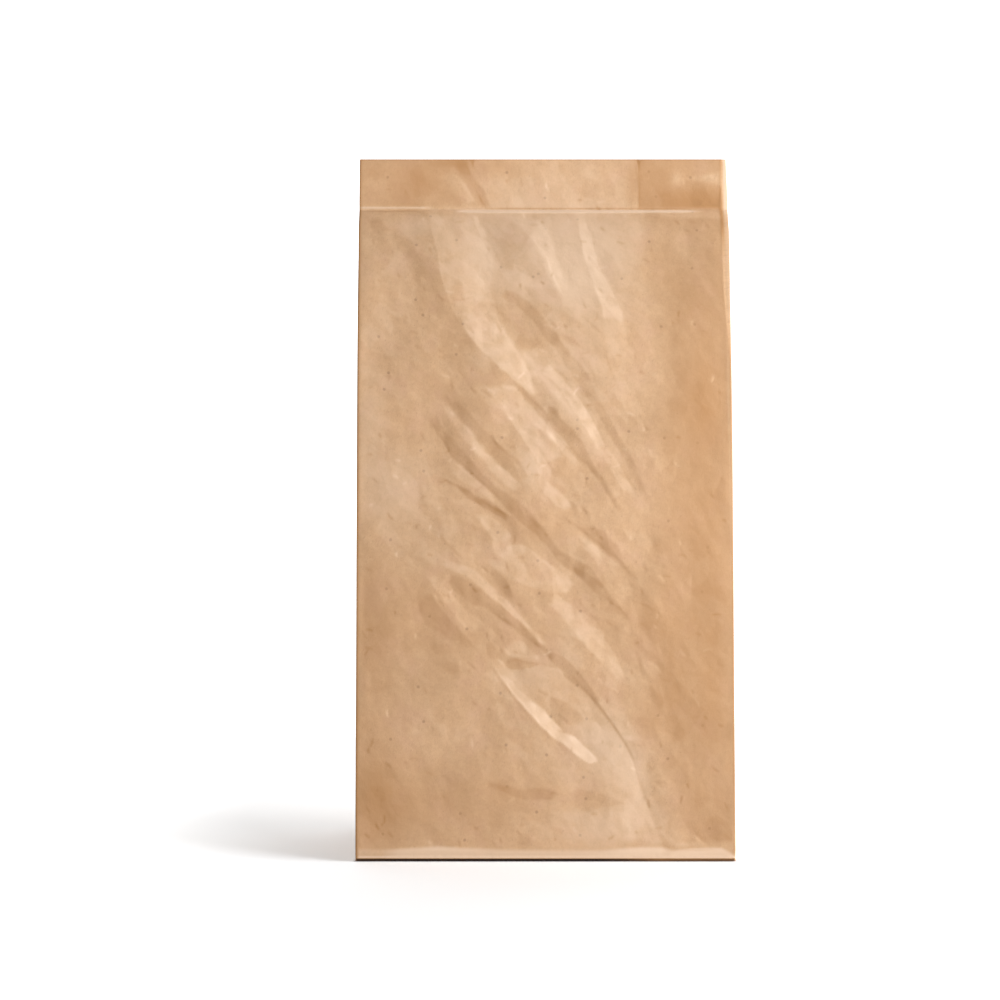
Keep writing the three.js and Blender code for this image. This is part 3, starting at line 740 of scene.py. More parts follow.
CHIPS = [(13, 1.8, 1.8, 83), (6.5, 2.2, 2.4, 81), (3.4, 1.9, 2.2, 82)]  # width, stretch, tilt and seed
CHIP_SLOPE = math.radians(-50)
CHIP_TABLE = 127  # cells each way, after which the pattern comes again
CALM_CHIPS = 0.55  # share of the chips' tilt far from the crumpled part
SPINE_REACH = 42.0  # mm, how far that part reaches from its spine


def chips(x, z, size, stretch, seed):
    """Flat little facets that fill the panel without gaps: each point takes the tilt, from -1 to 1, of the
    nearest one of a set of places. There is one place in each cell of a grid, which is turned along the slope
    of the creases."""
    table = np.random.default_rng(seed).uniform(0, 1, (CHIP_TABLE, CHIP_TABLE, 3))
    along = (x * math.cos(CHIP_SLOPE) + z * math.sin(CHIP_SLOPE)) / (size * stretch)
    off = (z * math.cos(CHIP_SLOPE) - x * math.sin(CHIP_SLOPE)) / size
    cell = np.floor(along).astype(int), np.floor(off).astype(int)
    nearest, tilt = np.full(x.shape, np.inf), np.zeros_like(x)
    for step in np.ndindex(3, 3):
        column, row = cell[0] + step[0] - 1, cell[1] + step[1] - 1
        place = table[column % CHIP_TABLE, row % CHIP_TABLE]
        gap = (column + place[:, 0] - along) ** 2 + (row + place[:, 1] - off) ** 2
        tilt = np.where(gap < nearest, 2 * place[:, 2] - 1, tilt)
        nearest = np.minimum(gap, nearest)
    return tilt


# ---- The front panel ----
FRONT_COLUMNS, BACK_COLUMNS, GUSSET_COLUMNS = 336, 44, 13
SOLVER_ROWS = 600
LIGHT_SLOPE = math.radians(20)  # how steeply the light comes down across the front panel, from the right
TILT_GAIN = 0.9  # share of each tilt that the sheet takes on
TONE_PER_DEGREE = 0.037  # painted light: how much paler the paper is painted for each degree that it is turned to the light, and deeper for each degree turned away
CRISPNESS = 0.5  # share of their fades that the facets have
STRAY, STRAY_WAVE = 0.2, 7  # mm, how far the facets' outlines stray from smooth curves, and over what length
UNEVEN, UNEVEN_WAVE = 0.2, 9  # share by which the facets' tilt varies, and over what length in mm
PANEL_INSET, STRIP_INSET = 2.5, 2  # mm in which the tilts grow from the panel's sides and its foot strip
SIDE_FADE, FOOT_FADE, BAND_FADE = 5, 6, 3  # mm in which the unevenness grows from the sides, foot and band
BAND_UNEVEN = 0.2  # share of the front panel's unevenness that is left in the band


def inside_panel(x, z):
    """1 inside a panel, and a smooth step down to 0 towards its sides and towards its foot strip."""
    return smoothstep((PANEL_EDGE - np.abs(x)) / SIDE_FADE) * smoothstep((z - FOOT_STRIP) / FOOT_FADE)


def settled(tilt, across, up):
    """The heights of a sheet whose slope towards the light comes as near as it can to the tilt everywhere,
    and that is held at its four edges: Poisson's equation for the divergence of the wanted slopes, solved by
    sine waves, which are the Fourier waves of the sheet mirrored with its sign changed."""
    slope = -np.tan(np.radians(TILT_GAIN * tilt))
    bending = (np.gradient(slope * math.cos(LIGHT_SLOPE), across, axis=1)
               + np.gradient(slope * math.sin(LIGHT_SLOPE), up, axis=0))
    rows, columns = bending.shape
    odd = np.zeros((2 * (rows - 1), 2 * (columns - 1)))
    inner = bending[1:-1, 1:-1]
    odd[1:rows - 1, 1:columns - 1] = inner
    odd[rows:, 1:columns - 1] = -inner[::-1]
    odd[:, columns:] = -odd[:, columns - 2:0:-1]
    wave_z = 2 - 2 * np.cos(2 * math.pi * np.fft.fftfreq(len(odd)))
    wave_x = 2 - 2 * np.cos(2 * math.pi * np.fft.fftfreq(odd.shape[1]))
    stiffness = wave_z[:, None] / up**2 + wave_x / across**2
    stiffness[0, 0] = 1
    return -np.fft.ifft2(np.fft.fft2(odd) / stiffness).real[:rows, :columns]


def crumpled():
    """The heights of the front panel's creases and the tones that go with them, on a regular grid from the
    foot to the mouth. The tones are painted light and shade: paper turned to the light is painted paler, and
    paper turned away deeper."""
    x_places = np.linspace(-PANEL_EDGE, PANEL_EDGE, FRONT_COLUMNS + 1)
    z_places = np.linspace(0, HEIGHT, SOLVER_ROWS)
    x, z = (a.ravel() for a in np.meshgrid(x_places, z_places))
    strayed = x + ripple(x, z, STRAY_WAVE, STRAY, 41), z + ripple(x, z, STRAY_WAVE, STRAY, 42)
    tilt = np.zeros_like(x)
    for facet in FACETS.values():
        tilt += facet_field(*strayed, facet, CRISPNESS)
    tilt *= 1 + ripple(x, z, UNEVEN_WAVE, UNEVEN, 43)
    for low_side, high_side, turned in small_facets():
        tilt += facet_tilt(*strayed, low_side, high_side, turned, SCATTERED_FADE) * (z < BAND_FOOT - 2)
    for low_side, high_side, turned in wide_facets():
        tilt += facet_tilt(*strayed, low_side, high_side, turned, SCATTERED_FADE)
    spine = smooth_track(on_panel(CRUMPLE_SPINE))
    share = CALM_CHIPS + (1 - CALM_CHIPS) * line_tilt(x, z, spine, 1, SPINE_REACH)
    for size, stretch, turned, seed in CHIPS:
        tilt += share * turned * chips(*strayed, size, stretch, seed)
    for track, turned in nicks():
        tilt += line_tilt(x, z, track, turned, NICK_HALF_WIDTH)
    for line in LINES.values():
        tilt += line_field(x, z, line)
    tilt *= smoothstep((z - FOOT_STRIP) / STRIP_INSET)
    inset = smoothstep((PANEL_EDGE - np.abs(x)) / PANEL_INSET)
    shape = len(z_places), len(x_places)
    heights = settled((tilt * inset).reshape(shape), x_places[1] - x_places[0], z_places[1])
    # painted light and shade: the tone follows each tilt
    return heights, TONE_PER_DEGREE * tilt.reshape(shape), z_places


# The crease along the foot of the band: how high its pale line lies, and where along it the paper is ridged,
# in pixels. Each ridge or groove has its height, its place above that line and its width
CREASE_LEFT_Z, CREASE_RIGHT_Z = 315.9, 314.1
CREASE_LEFT_END, CREASE_RIGHT_START, CREASE_RIGHT_END = 436, 452, 706
CREASE_LEFT_RIDGES = [(0.3, -0.5, 0.55), (-0.2, -1.7, 0.5)]
CREASE_RIGHT_RIDGES = [(0.36, -0.6, 0.6), (-0.3, 0.75, 0.5)]
CREASE_LEFT_TONE, CREASE_LEFT_WIDTH = 0.7, 0.55  # of the pale line, which is partly wear and partly painted highlight
CREASE_RIGHT_TONE, CREASE_RIGHT_WIDTH = 2.2, 0.6
CREASE_FADES = 16, 22, 30  # pixels in which the left part ends, and in which the right one starts and ends


def ridged(above, ridges):
    """The height of ridges and grooves, as bell curves, at distances above the line that they belong to."""
    return sum(height * bell(above - place, width) for height, place, width in ridges)


def band_crease(x, z):
    """The crease along the foot of the band, as bell curves up the panel: a ridge with a groove under it on
    the left, and a groove with a ridge under it on the right. Gives the height and the tone of its pale line,
    which is partly wear and partly painted highlight."""
    scale = (CAMERA_AWAY - HALF_MOUTH) / PIXELS_PER_RADIAN
    pixel = (x + lean(FRONT, z, x / WIDTH + 0.5) - CAMERA_X) / scale + PHOTO_SIDE / 2
    left = smoothstep((CREASE_LEFT_END - pixel) / CREASE_FADES[0])
    right = smoothstep((pixel - CREASE_RIGHT_START) / CREASE_FADES[1])
    right = right * smoothstep((CREASE_RIGHT_END - pixel) / CREASE_FADES[2])
    above_left, above_right = z - CREASE_LEFT_Z, z - CREASE_RIGHT_Z
    height = left * ridged(above_left, CREASE_LEFT_RIDGES) + right * ridged(above_right, CREASE_RIGHT_RIDGES)
    pale_line = np.maximum(left * bell(above_left, CREASE_LEFT_WIDTH) * CREASE_LEFT_TONE,
                      right * bell(above_right, CREASE_RIGHT_WIDTH) * CREASE_RIGHT_TONE)
    return height, pale_line


GAP_HEIGHT = 1.45  # up to here the foot is nearly black, for the gap in shade under the paper's lower edge
GAP_EDGE, GAP_FADE = 0.4, 0.5  # how far above it the shade ends, and in what distance it grows
STRIP_EDGE, STRIP_FADE = 1, 2.4  # the same for the painted light on the strip, from the strip's top
RIM_TONE, RIM_ABOVE, RIM_WIDTH = 0.75, 0.75, 0.45  # the painted highlight along the rim above the gap
FOOT_RIM = [(0.22, 0.2, 0.55)]  # and the ridge there: height, place above the gap and width
SIDE_LINES = 0.75, 0.8  # widths of the painted shade lines along the left and the right side fold
MOUTH_TONE, MOUTH_EDGE, MOUTH_FADE = -0.7, 0.6, 0.4  # a dark line along the top edge at the mouth
DEEPEST = -1.1  # the deepest tone of paper that is in the light


def panel_tones(x, z):
    """The front panel's painted light and shade, above 0 paler and below 0 deeper: the patches and lines,
    painted light on the strip along the base with a painted highlight on its rim, a dark line along the top
    edge at the mouth, and painted shade along each side fold. Also the places across the photograph, in
    pixels."""
    pixel = PHOTO_SIDE / 2 + (x - CAMERA_X) * PIXELS_PER_RADIAN / (CAMERA_AWAY - half_depth(z))
    flat_x, flat_z = x.ravel(), z.ravel()
    tone = sum(patch_tone(flat_x, flat_z, patch) for patch in PATCHES.values())
    for facet in TONES.values():
        tone += facet_field(flat_x, flat_z, facet)
    for line in TONE_LINES.values():
        tone += line_field(flat_x, flat_z, line)
    tone = tone.reshape(x.shape)
    strip = smoothstep((follow(FOOT_TOPS, pixel) + STRIP_EDGE - z) / STRIP_FADE)
    tone = tone * (1 - strip) + strip * follow(FOOT_TONES, pixel)
    tone += RIM_TONE * bell(z - GAP_HEIGHT - RIM_ABOVE, RIM_WIDTH)
    at_left, at_right = bell(x + PANEL_EDGE, SIDE_LINES[0]), bell(PANEL_EDGE - x, SIDE_LINES[1])
    tone = tone * (1 - at_left) - at_left + at_right * follow(RIGHT_EDGE_TONES, z)
    return tone + MOUTH_TONE * smoothstep((z - HEIGHT + MOUTH_EDGE) / MOUTH_FADE), pixel


BAND_ROOM = 0.3  # how far the creases can stand in or out along the band
PANEL_ROOM, ROOM_RISE = 14, 25  # how much further below it, and in what distance that grows
FRONT_RIPPLES = [(34, 0.16, 3), (9, 0.02, 4)]  # wavelength, height and random seed


def front_relief(x, z):
    """How far the front panel stands out of its smooth form, and its tones of painted light and shade, at
    rows of points up it.
    """
    heights, tones, places = crumpled()
    row = np.clip(np.searchsorted(places, z[:, 0]) - 1, 0, len(places) - 2)
    share = ((z[:, 0] - places[row]) / (places[row + 1] - places[row]))[:, None]
    relief, tone = (field[row] * (1 - share) + field[row + 1] * share for field in (heights, tones))
    room = BAND_ROOM + PANEL_ROOM * np.clip((BAND_FOOT - z) / ROOM_RISE, 0, 1)
    relief = room * np.tanh(relief / room)
    unevenness = sum(ripple(x, z, *wave) for wave in FRONT_RIPPLES)
    relief += inside_panel(x, z) * unevenness * np.clip((BAND_FOOT - z) / BAND_FADE, BAND_UNEVEN, 1)
    crease, pale_line = band_crease(x, z)
    tuck = FOOT_TUCK * np.clip(1 - z / FOOT_STRIP, 0, 1)
    rim = ridged(z - GAP_HEIGHT, FOOT_RIM)
    own, pixel = panel_tones(x, z)
    tone = np.maximum(tone + own + pale_line, DEEPEST)
    # painted shadow: the foot is nearly black in the gap under the paper's lower edge
    gap = smoothstep((GAP_HEIGHT + GAP_EDGE - z) / GAP_FADE)
    tone = tone * (1 - gap) + gap * follow(GAP_TONES, pixel)
    return relief + crease + rim - tuck, tone


# ---- The walls as a grid ----
# From each height up to the next, this many rows: they are close together at the base and about the band's
# lower edge, where the paper turns sharply
ROWS = [(FOOT_LIFT, 8), (2.4, 4), (FOOT_STRIP, 451), (BAND_FOOT - 7, 30), (BAND_FOOT + 3, 24),
        (HEIGHT - 0.8, 2)]


def row_heights():
    ends = [start for start, _ in ROWS[1:]] + [HEIGHT]
    stretches = [np.linspace(start, end, count, endpoint=False) for (start, count), end in zip(ROWS, ends)]
    return np.concatenate([*stretches, [HEIGHT]])


def corner_shift(side, face, z):
    """How far a corner fold lies to the right of its upright place."""
    if (side, face) == (RIGHT, FRONT):
        return follow(RIGHT_CORNER, z)
    return lean(face, z, (side + 1) / 2)


def fold_depth(z):
    """How far a gusset's middle fold lies inside its corner folds: each half keeps its width, and its foot is
    a triangle that leans in as a flat piece."""
    apex = DEPTH / 2
    gap = half_depth(np.maximum(z, apex)) - HALF_MOUTH
    return np.sqrt(GUSSET_HALF**2 - gap**2) * np.minimum(1, z / apex)


BASE_GUSSET_HALF = BASE_HALF_DEPTH - HALF_MOUTH
GUSSET_BOW_START = 30.0  # height from which the halves of a gusset are bowed


def gusset_point(side, face, share, z):
    """A point of half a gusset: share runs from 0 at its corner fold to 1 at its middle fold. Inside the
    slanting fold it lies on the foot's triangle, and outside it on the line from the corner to that fold,
    bowed in by 1 mm at most, as half a sine wave across times half a sine wave up."""
    slant = np.minimum(1, z / (DEPTH / 2))
    corner_x = side * WIDTH / 2 + corner_shift(side, face, z)
    corner_y = half_depth(z) - LEAF
    inner_x = side * (WIDTH / 2 - fold_depth(z))
    inner_y = GROOVE / 2 + (1 - np.maximum(share, slant)) * BASE_GUSSET_HALF
    reached = np.clip(share / np.maximum(slant, TINY), 0, 1)
    up = np.clip((z - GUSSET_BOW_START) / (BAND_FOOT - GUSSET_BOW_START), 0, 1)
    bow = np.sin(math.pi * reached) * np.sin(math.pi * up)
    x = corner_x + (inner_x - corner_x) * reached
    y = corner_y + (inner_y - corner_y) * reached
    return np.stack([x - side * bow, face * (y - bow), z], axis=-1)


def panel_point(face, across, z):
    """A point of the front or the back panel: the half depth, and a bow that is a parabola across the panel
    and the square of a half sine wave up it."""
    bowed = np.where(z < BAND_FOOT, np.sin(math.pi * z / BAND_FOOT) ** 2, 0)
    bulge = BOW * (1 - (2 * across) ** 2) * bowed
    x = across * WIDTH + lean(face, z, across + 0.5)
    return np.stack([x, face * (half_depth(z) + bulge), z], axis=-1)


# The glued edge of the sheet down the back, and the crease across the back where the base folds up against it
SEAM_AT, SEAM_STEP, SEAM_EDGE = 28.0, 0.5, 0.9
BACK_CREASE, BACK_CREASE_REACH = 1.0, 7
BACK_RIPPLES = [(48, 0.6, 11), (14, 0.08, 12)]  # wavelength, height and random seed
BACK_CREASES = 60


def back_relief(x, z):
    """How far the back panel stands out: the step of the glued seam, the crease above the base as a pointed
    valley, a slow unevenness, and ridges along short tracks, as bell curves of the distance to them."""
    relief = SEAM_STEP * smoothstep((x - SEAM_AT) / SEAM_EDGE)
    relief += sum(ripple(x, z, *wave) for wave in BACK_RIPPLES)
    relief -= BACK_CREASE * np.clip(1 - np.abs(z - DEPTH / 2) / BACK_CREASE_REACH, 0, 1) ** 2
    draw = np.random.default_rng(5)
    fine = np.zeros(x.size)
    for _ in range(BACK_CREASES):
        middle = draw.uniform((-80, 20), (80, BAND_FOOT))
        angle = draw.uniform(-1.3, 1.3)
        way = np.array([math.cos(angle), math.sin(angle)]) * draw.uniform(6, 30)
        track = smooth_track(np.array([middle - way, middle + draw.normal(0, 1.5, 2), middle + way]))
        height, half_width = draw.uniform(-0.5, 0.7), draw.uniform(2.5, 5)
        fine += line_tilt(x.ravel(), z.ravel(), track, height, half_width)
    below_band = np.clip((BAND_FOOT - z) / BAND_FADE, 0, 1)
    return inside_panel(x, z) * below_band * (relief + fine.reshape(x.shape))


def bend(start, corner, end, steps):
    """The inner columns of a rounded fold: a quadratic curve from start to end, drawn towards the corner."""
    t = np.linspace(0, 1, steps + 2)[1:-1, None]
    start, corner, end = (a[:, None, :] for a in (start, corner, end))
    return (1 - t) ** 2 * start + 2 * t * (1 - t) * corner + t**2 * end


# The columns of the ledge: shares of its width, how far they lie behind the panel's edge, and how much
# further near the mouth
LEDGE_ACROSS = np.array([0.12, 0.5, 0.85, 1.0, 0.96])
LEDGE_BACK = np.array([0.03, 0.06, 0.14, 0.32, 0.48])
LEDGE_STEP = np.array([0.12, 0.12, 0.1, 0.06, 0.02])
LEDGE_START, LEDGE_RISE = 240, 30


def ledge(start, z):
    """The columns between the front panel's right edge and the gusset, and their tones, which are painted
    light
    and shade: a step back, a ledge that is wide near the mouth and narrows to nothing lower down, and the
    corner fold."""
    width = WIDTH / 2 - 0.2 + corner_shift(RIGHT, FRONT, z) - start[:, 0]
    back = LEDGE_BACK + LEDGE_STEP * smoothstep((z - LEDGE_START) / LEDGE_RISE)[:, None]
    x = start[:, :1] + width[:, None] * LEDGE_ACROSS
    points = np.stack([x, start[:, 1:2] + back, np.repeat(z[:, None], len(LEDGE_ACROSS), axis=1)], axis=-1)
    edge, flat = follow(RIGHT_EDGE_TONES, z), follow(LEDGE_TONES, z)
    return points, np.stack([edge, flat, flat, flat - 0.3, np.full_like(flat, -0.6)], axis=-1)


CORNER_OUT = 0.1  # how far the rounded corner folds are drawn out past the width
BACK_RIGHT_SHADE, BACK_LEFT_SHADE, FRONT_LEFT_SHADE = -0.9, -1.1, -1.1  # painted shade on the corner folds, where the light falls on them
GUSSET_WAVE, GUSSET_RIPPLE = 30, 0.45  # wavelength and height of the gussets' unevenness
GUSSET_FADE = 25  # mm in which it grows from the floor and from the band


def walls():
    """The walls as a grid of points, rows by columns: the columns go once round the bag, from the left edge
    of the front panel to the right. Also the tone of each point."""
    z = row_heights()
    edge = PANEL_EDGE / WIDTH
    across, rows = np.meshgrid(np.linspace(-edge, edge, FRONT_COLUMNS + 1), z)
    front = panel_point(FRONT, across, rows)
    relief, front_tone = front_relief(across * WIDTH, rows)
    front[..., 1] -= relief
    across_back, rows_back = np.meshgrid(np.linspace(edge, -edge, BACK_COLUMNS + 1), z)
    back = panel_point(BACK, across_back, rows_back)
    back[..., 1] += back_relief(across_back * WIDTH, rows_back)

    first = FOLD_RADIUS / GUSSET_HALF
    share, rows_side = np.meshgrid(np.linspace(first, 1 - first, GUSSET_COLUMNS + 1), z)
    fade = np.sin(math.pi * share) * smoothstep((BAND_FOOT - rows_side) / GUSSET_FADE)
    fade = fade * smoothstep(rows_side / GUSSET_FADE)

    def half_gusset(side, face):
        half = gusset_point(side, face, share, rows_side)
        seed = 20 + side + 3 * face
        uneven = ripple(share * GUSSET_HALF, rows_side, GUSSET_WAVE, GUSSET_RIPPLE, seed)
        half[..., 1] += face * fade * uneven
        return half

    def corner(side, face):
        x = side * (WIDTH / 2 + CORNER_OUT) + corner_shift(side, face, z)
        return np.stack([x, face * (half_depth(z) - LEAF / 2), z], axis=-1)

    def middle(side):
        return np.stack([side * (WIDTH / 2 - fold_depth(z)), 0 * z, z], axis=-1)

    front_right, back_right = half_gusset(RIGHT, FRONT), half_gusset(RIGHT, BACK)[:, ::-1]
    back_left, front_left = half_gusset(LEFT, BACK), half_gusset(LEFT, FRONT)[:, ::-1]
    sections = [
        (front, front_tone),
        ledge(front[:, -1], z),
        (front_right, 0),
        (bend(front_right[:, -1], middle(RIGHT), back_right[:, 0], 1), 0),
        (back_right, 0),
        (bend(back_right[:, -1], corner(RIGHT, BACK), back[:, 0], 3), BACK_RIGHT_SHADE),
        (back, 0),
        (bend(back[:, -1], corner(LEFT, BACK), back_left[:, 0], 3), BACK_LEFT_SHADE),
        (back_left, 0),
        (bend(back_left[:, -1], middle(LEFT), front_left[:, 0], 1), 0),
        (front_left, 0),
        (bend(front_left[:, -1], corner(LEFT, FRONT), front[:, 0], 3), FRONT_LEFT_SHADE),
    ]
    grid = np.concatenate([points for points, _ in sections], axis=1)
    tones = [np.broadcast_to(tone, points.shape[:2]) for points, tone in sections]
    return grid, np.concatenate(tones, axis=1)


def offset_loop(loop, by):
    """A closed line in the plane, moved inwards by a distance along its normals."""
    tangent = np.roll(loop, -1, axis=0) - np.roll(loop, 1, axis=0)
    tangent /= np.maximum(np.linalg.norm(tangent, axis=1), TINY)[:, None]
    return loop - by * np.stack([tangent[:, 1], -tangent[:, 0]], axis=-1)


# ---- Pieces ----
UV_SPAN = 600.0  # millimetres of paper that the sheet's UV map fits into its unit square
SHARP_ANGLE = math.radians(60)


def make_object(name, points, faces, uvs, material, tone=None):
    """An object at the origin, from points in millimetres, faces of three or four corners, and the UV place
    of every corner in turn."""
    mesh = bpy.data.meshes.new(name)
    mesh.from_pydata((points * MM).tolist(), [], [list(f) for f in faces])
    layer = mesh.uv_layers.new(name="sheet")
    layer.data.foreach_set("uv", np.asarray(uvs, np.float32).ravel())
    if tone is not None:
        attribute = mesh.attributes.new("tone", "FLOAT", "POINT")
        attribute.data.foreach_set("value", np.asarray(tone, np.float32))
    mesh.polygons.foreach_set("use_smooth", [True] * len(mesh.polygons))
    mesh.set_sharp_from_angle(angle=SHARP_ANGLE)
    mesh.materials.append(material)
    made = bpy.data.objects.new(name, mesh)
    bpy.context.scene.collection.objects.link(made)
    return made


def seam_normals(rows):
    """The normals along the middle one of three rows of the walls: the mean of the normals of the four faces
    round each point, weighed by their areas."""
    after = np.roll(rows, -1, axis=1)
    faces = np.cross(after[1:] - rows[:-1], rows[1:] - after[:-1]).sum(axis=0)
    faces = faces + np.roll(faces, 1, axis=0)
    return faces / np.linalg.norm(faces, axis=1)[:, None]


def wall_piece(name, points, tone, paper, rows, columns, material):
    """Part of the walls as an object: the rows and columns of two ranges, ends included. The columns may go
    past the end of the grid to its start again. `paper` is the place of each column along the sheet."""
    taken = np.arange(columns[0], columns[1] + 1)
    count = len(taken)
    piece = points[:, taken % points.shape[1]]
    height = np.concatenate([[0], np.cumsum(np.linalg.norm(np.diff(piece[:, count // 2], axis=0), axis=1))])
    piece, height = piece[rows[0]: rows[1] + 1], height[rows[0]: rows[1] + 1]
    tone = tone[rows[0]: rows[1] + 1, taken % points.shape[1]].ravel()
    row, column = np.divmod(np.arange((len(piece) - 1) * (count - 1)), count - 1)
    first = row * count + column
    faces = np.stack([first, first + 1, first + count + 1, first + count], -1)
    places = paper[taken]
    corners = ((column, row), (column + 1, row), (column + 1, row + 1), (column, row + 1))
    uv = np.stack([np.stack([places[c], height[r]], -1) for c, r in corners], 1)
    uv = uv.reshape(-1, 2) / UV_SPAN
    made = make_object(name, piece.reshape(-1, 3), faces.tolist(), uv, material, tone)
    normals = np.zeros(piece.shape)
    for line, at in ((0, rows[0]), (-1, rows[1])):
        if 0 < at < len(points) - 1:
            normals[line] = seam_normals(points[at - 1: at + 2])[taken % points.shape[1]]
    if normals.any():
        made.data.normals_split_custom_set_from_vertices(normals.reshape(-1, 3).tolist())
    return made


def cap(name, loop, way, material):
    """A flat piece that closes a loop of points, facing up where way is 1 and down where it is -1."""
    triangles = np.array(tessellate_polygon([[tuple(p) for p in loop]]))
    a, b, c = (loop[triangles[:, k], :2] for k in range(3))
    area = (b[:, 0] - a[:, 0]) * (c[:, 1] - a[:, 1]) - (b[:, 1] - a[:, 1]) * (c[:, 0] - a[:, 0])
    triangles = np.where((area * way < 0)[:, None], triangles[:, ::-1], triangles)
    uvs = (loop[triangles.ravel(), :2] + (WIDTH / 2, DEPTH / 2)) / UV_SPAN
    return make_object(name, loop, triangles.tolist(), uvs, material)


MOUTH_DEPTH = 12.0  # how far down the slit of the mouth is modelled
UNDER_ROLL = [(7.0, 0.3), (3.5, 0.3), (1.6, 0.25), (0.5, 0.2)]  # inset and height of the rows under the base
LEDGE_CORNER = 4  # columns from the front panel to the corner fold on its right


def bag_walls(material):
    """The walls, with the edge of the paper at the mouth, the slit behind it, and the roll under the base;
    and the caps of the slit and of the base's side tucks. The front is two pieces, one above the other, that
    meet the sides in the corner folds."""
    grid, tone = walls()
    columns = grid.shape[1]
    lining = grid[grid[:, 0, 2] >= HEIGHT - MOUTH_DEPTH][::-1].copy()
    for row in lining:
        row[:, :2] = offset_loop(row[:, :2], PAPER)
    under = []
    for inset, rise in UNDER_ROLL:
        ring = grid[0].copy()
        ring[:, 0] *= 1 - inset / (WIDTH / 2)
        ring[:, 1] *= 1 - inset / (DEPTH / 2)
        ring[:, 2] = rise
        under.append(ring)
    rows = np.concatenate([under, grid, lining])
    tone = np.concatenate([np.zeros((len(under), columns)), tone, np.zeros((len(lining), columns))])
    level = grid[len(grid) // 3]  # where the places of the columns along the sheet are measured
    loop = np.concatenate([level, level[:1]])
    paper = np.concatenate([[0], np.cumsum(np.linalg.norm(np.diff(loop[:, :2], axis=0), axis=1))])
    right_fold, left_fold = FRONT_COLUMNS + LEDGE_CORNER, columns - 2  # the corner folds' middle columns
    paper = np.concatenate([paper[:-1], paper[-1] + paper[: right_fold + 2]])
    front, half, last = (left_fold, columns + right_fold), len(rows) // 2, len(rows) - 1
    return [
        wall_piece("bag_front_lower", rows, tone, paper, (0, half), front, material),
        wall_piece("bag_front_upper", rows, tone, paper, (half, last), front, material),
        wall_piece("bag_sides_and_back", rows, tone, paper, (0, last), (right_fold, left_fold), material),
        cap("mouth_slit", lining[-1], 1, material),
        cap("base_tucks", under[0], -1, material),
    ]


FLAP_LAP = 12.0  # the flaps reach this far past the middle of the base
FLAP_SIDE = 4.0  # their slanting edges start this far in from the corners
FLAP_FRONT = 4.0  # and their roots this far behind the fold
FLAP_COLUMNS, FLAP_LINES = 41, 25
FLAP_SAG = 0.03


def base_flap(name, face, low, material):
    """One of the two flaps folded under the base: a trapezoid whose slanting edges run in at 45 degrees, as a
    thin sheet on a grid of points. It reaches past the middle of the base by the lap."""
    edge_y = BASE_HALF_DEPTH - FLAP_FRONT
    lines = np.linspace(0, edge_y + FLAP_LAP, FLAP_LINES)
    across, along = np.meshgrid(np.linspace(-1, 1, FLAP_COLUMNS), lines, indexing="ij")
    half_width = WIDTH / 2 - FLAP_SIDE - along
    x, y = across * half_width, face * (edge_y - along)
    sag = np.maximum(ripple(x, y, 40, FLAP_SAG, 31 + face), 0) * np.clip(along / 10, 0, 1)
    under = np.stack([x, y, low + sag], -1).reshape(-1, 3)
    upper = under + (0, 0, PAPER)
    index = np.arange(FLAP_COLUMNS * FLAP_LINES).reshape(FLAP_COLUMNS, FLAP_LINES)
    quads = np.stack([index[:-1, :-1], index[:-1, 1:], index[1:, 1:], index[1:, :-1]], -1).reshape(-1, 4)
    outline = np.concatenate([index[:, 0], index[-1, 1:], index[-2::-1, -1], index[0, -2:0:-1]])
    after = np.roll(outline, -1)
    count = len(under)
    rim = np.stack([outline, after, after + count, outline + count], -1)
    faces = np.concatenate([quads, quads[:, ::-1] + count, rim])
    if face == BACK:
        faces = faces[:, ::-1]
    points = np.concatenate([under, upper])
    uvs = (points[:, :2] + (WIDTH / 2, DEPTH / 2))[faces.ravel()] / UV_SPAN
    return make_object(name, points, faces.tolist(), uvs, material)


# ---- Materials ----
class Nodes:
    """A material's node tree. add() makes any node, and wires made from its sockets take part in maths."""

    def __init__(self, name):
        self.material = bpy.data.materials.new(name)
        self.material.use_nodes = True
        self.tree = self.material.node_tree
        self.shader = self.tree.nodes["Principled BSDF"]

    def add(self, kind, settings=None, sockets=None, out=0):
        """Makes a node of a kind, sets its settings and then its sockets, and gives one of its outputs."""
        node = self.tree.nodes.new("ShaderNode" + kind)
        for name, value in (settings or {}).items():
            setattr(node, name, value)
        for name, value in (sockets or {}).items():
            self.put(node, name, value)
        return Wire(self, node.outputs[out])

    def put(self, node, name, value):
        """Sets a socket, found by its identifier or its place, to a value or to a wire."""
        if isinstance(name, int):
            socket = node.inputs[name]
        else:
            socket = next(s for s in node.inputs if s.identifier == name)
        if isinstance(value, Wire):
            self.tree.links.new(value.socket, socket)
        else:
            socket.default_value = value

    def maths(self, operation, *values):
        return self.add("Math", {"operation": operation}, dict(enumerate(values)))

    def mix(self, share, first, second):
        """A colour between two, by a share."""
        sockets = {"Factor_Float": share, "A_Color": first, "B_Color": second}
        return self.add("Mix", {"data_type": "RGBA"}, sockets, out=2)

    def ramp(self, value, low, high):
        """0 below low, 1 above high, and a smooth step between them."""
        return self.add("MapRange", {"interpolation_type": "SMOOTHSTEP"},
                        {"Value": value, "From Min": low, "From Max": high})


class Wire:
    """An output socket that takes part in arithmetic. Each operation adds one Math node."""

    def __init__(self, nodes, socket):
        self.nodes = nodes
        self.socket = socket

    def other(self, name):
        """Another output of the same node."""
        return Wire(self.nodes, self.socket.node.outputs[name])

    def __add__(self, other):
        return self.nodes.maths("ADD", self, other)

    def __sub__(self, other):
        return self.nodes.maths("SUBTRACT", self, other)

    def __rsub__(self, other):
        return self.nodes.maths("SUBTRACT", other, self)

    def __mul__(self, other):
        return self.nodes.maths("MULTIPLY", self, other)

    __radd__ = __add__
    __rmul__ = __mul__


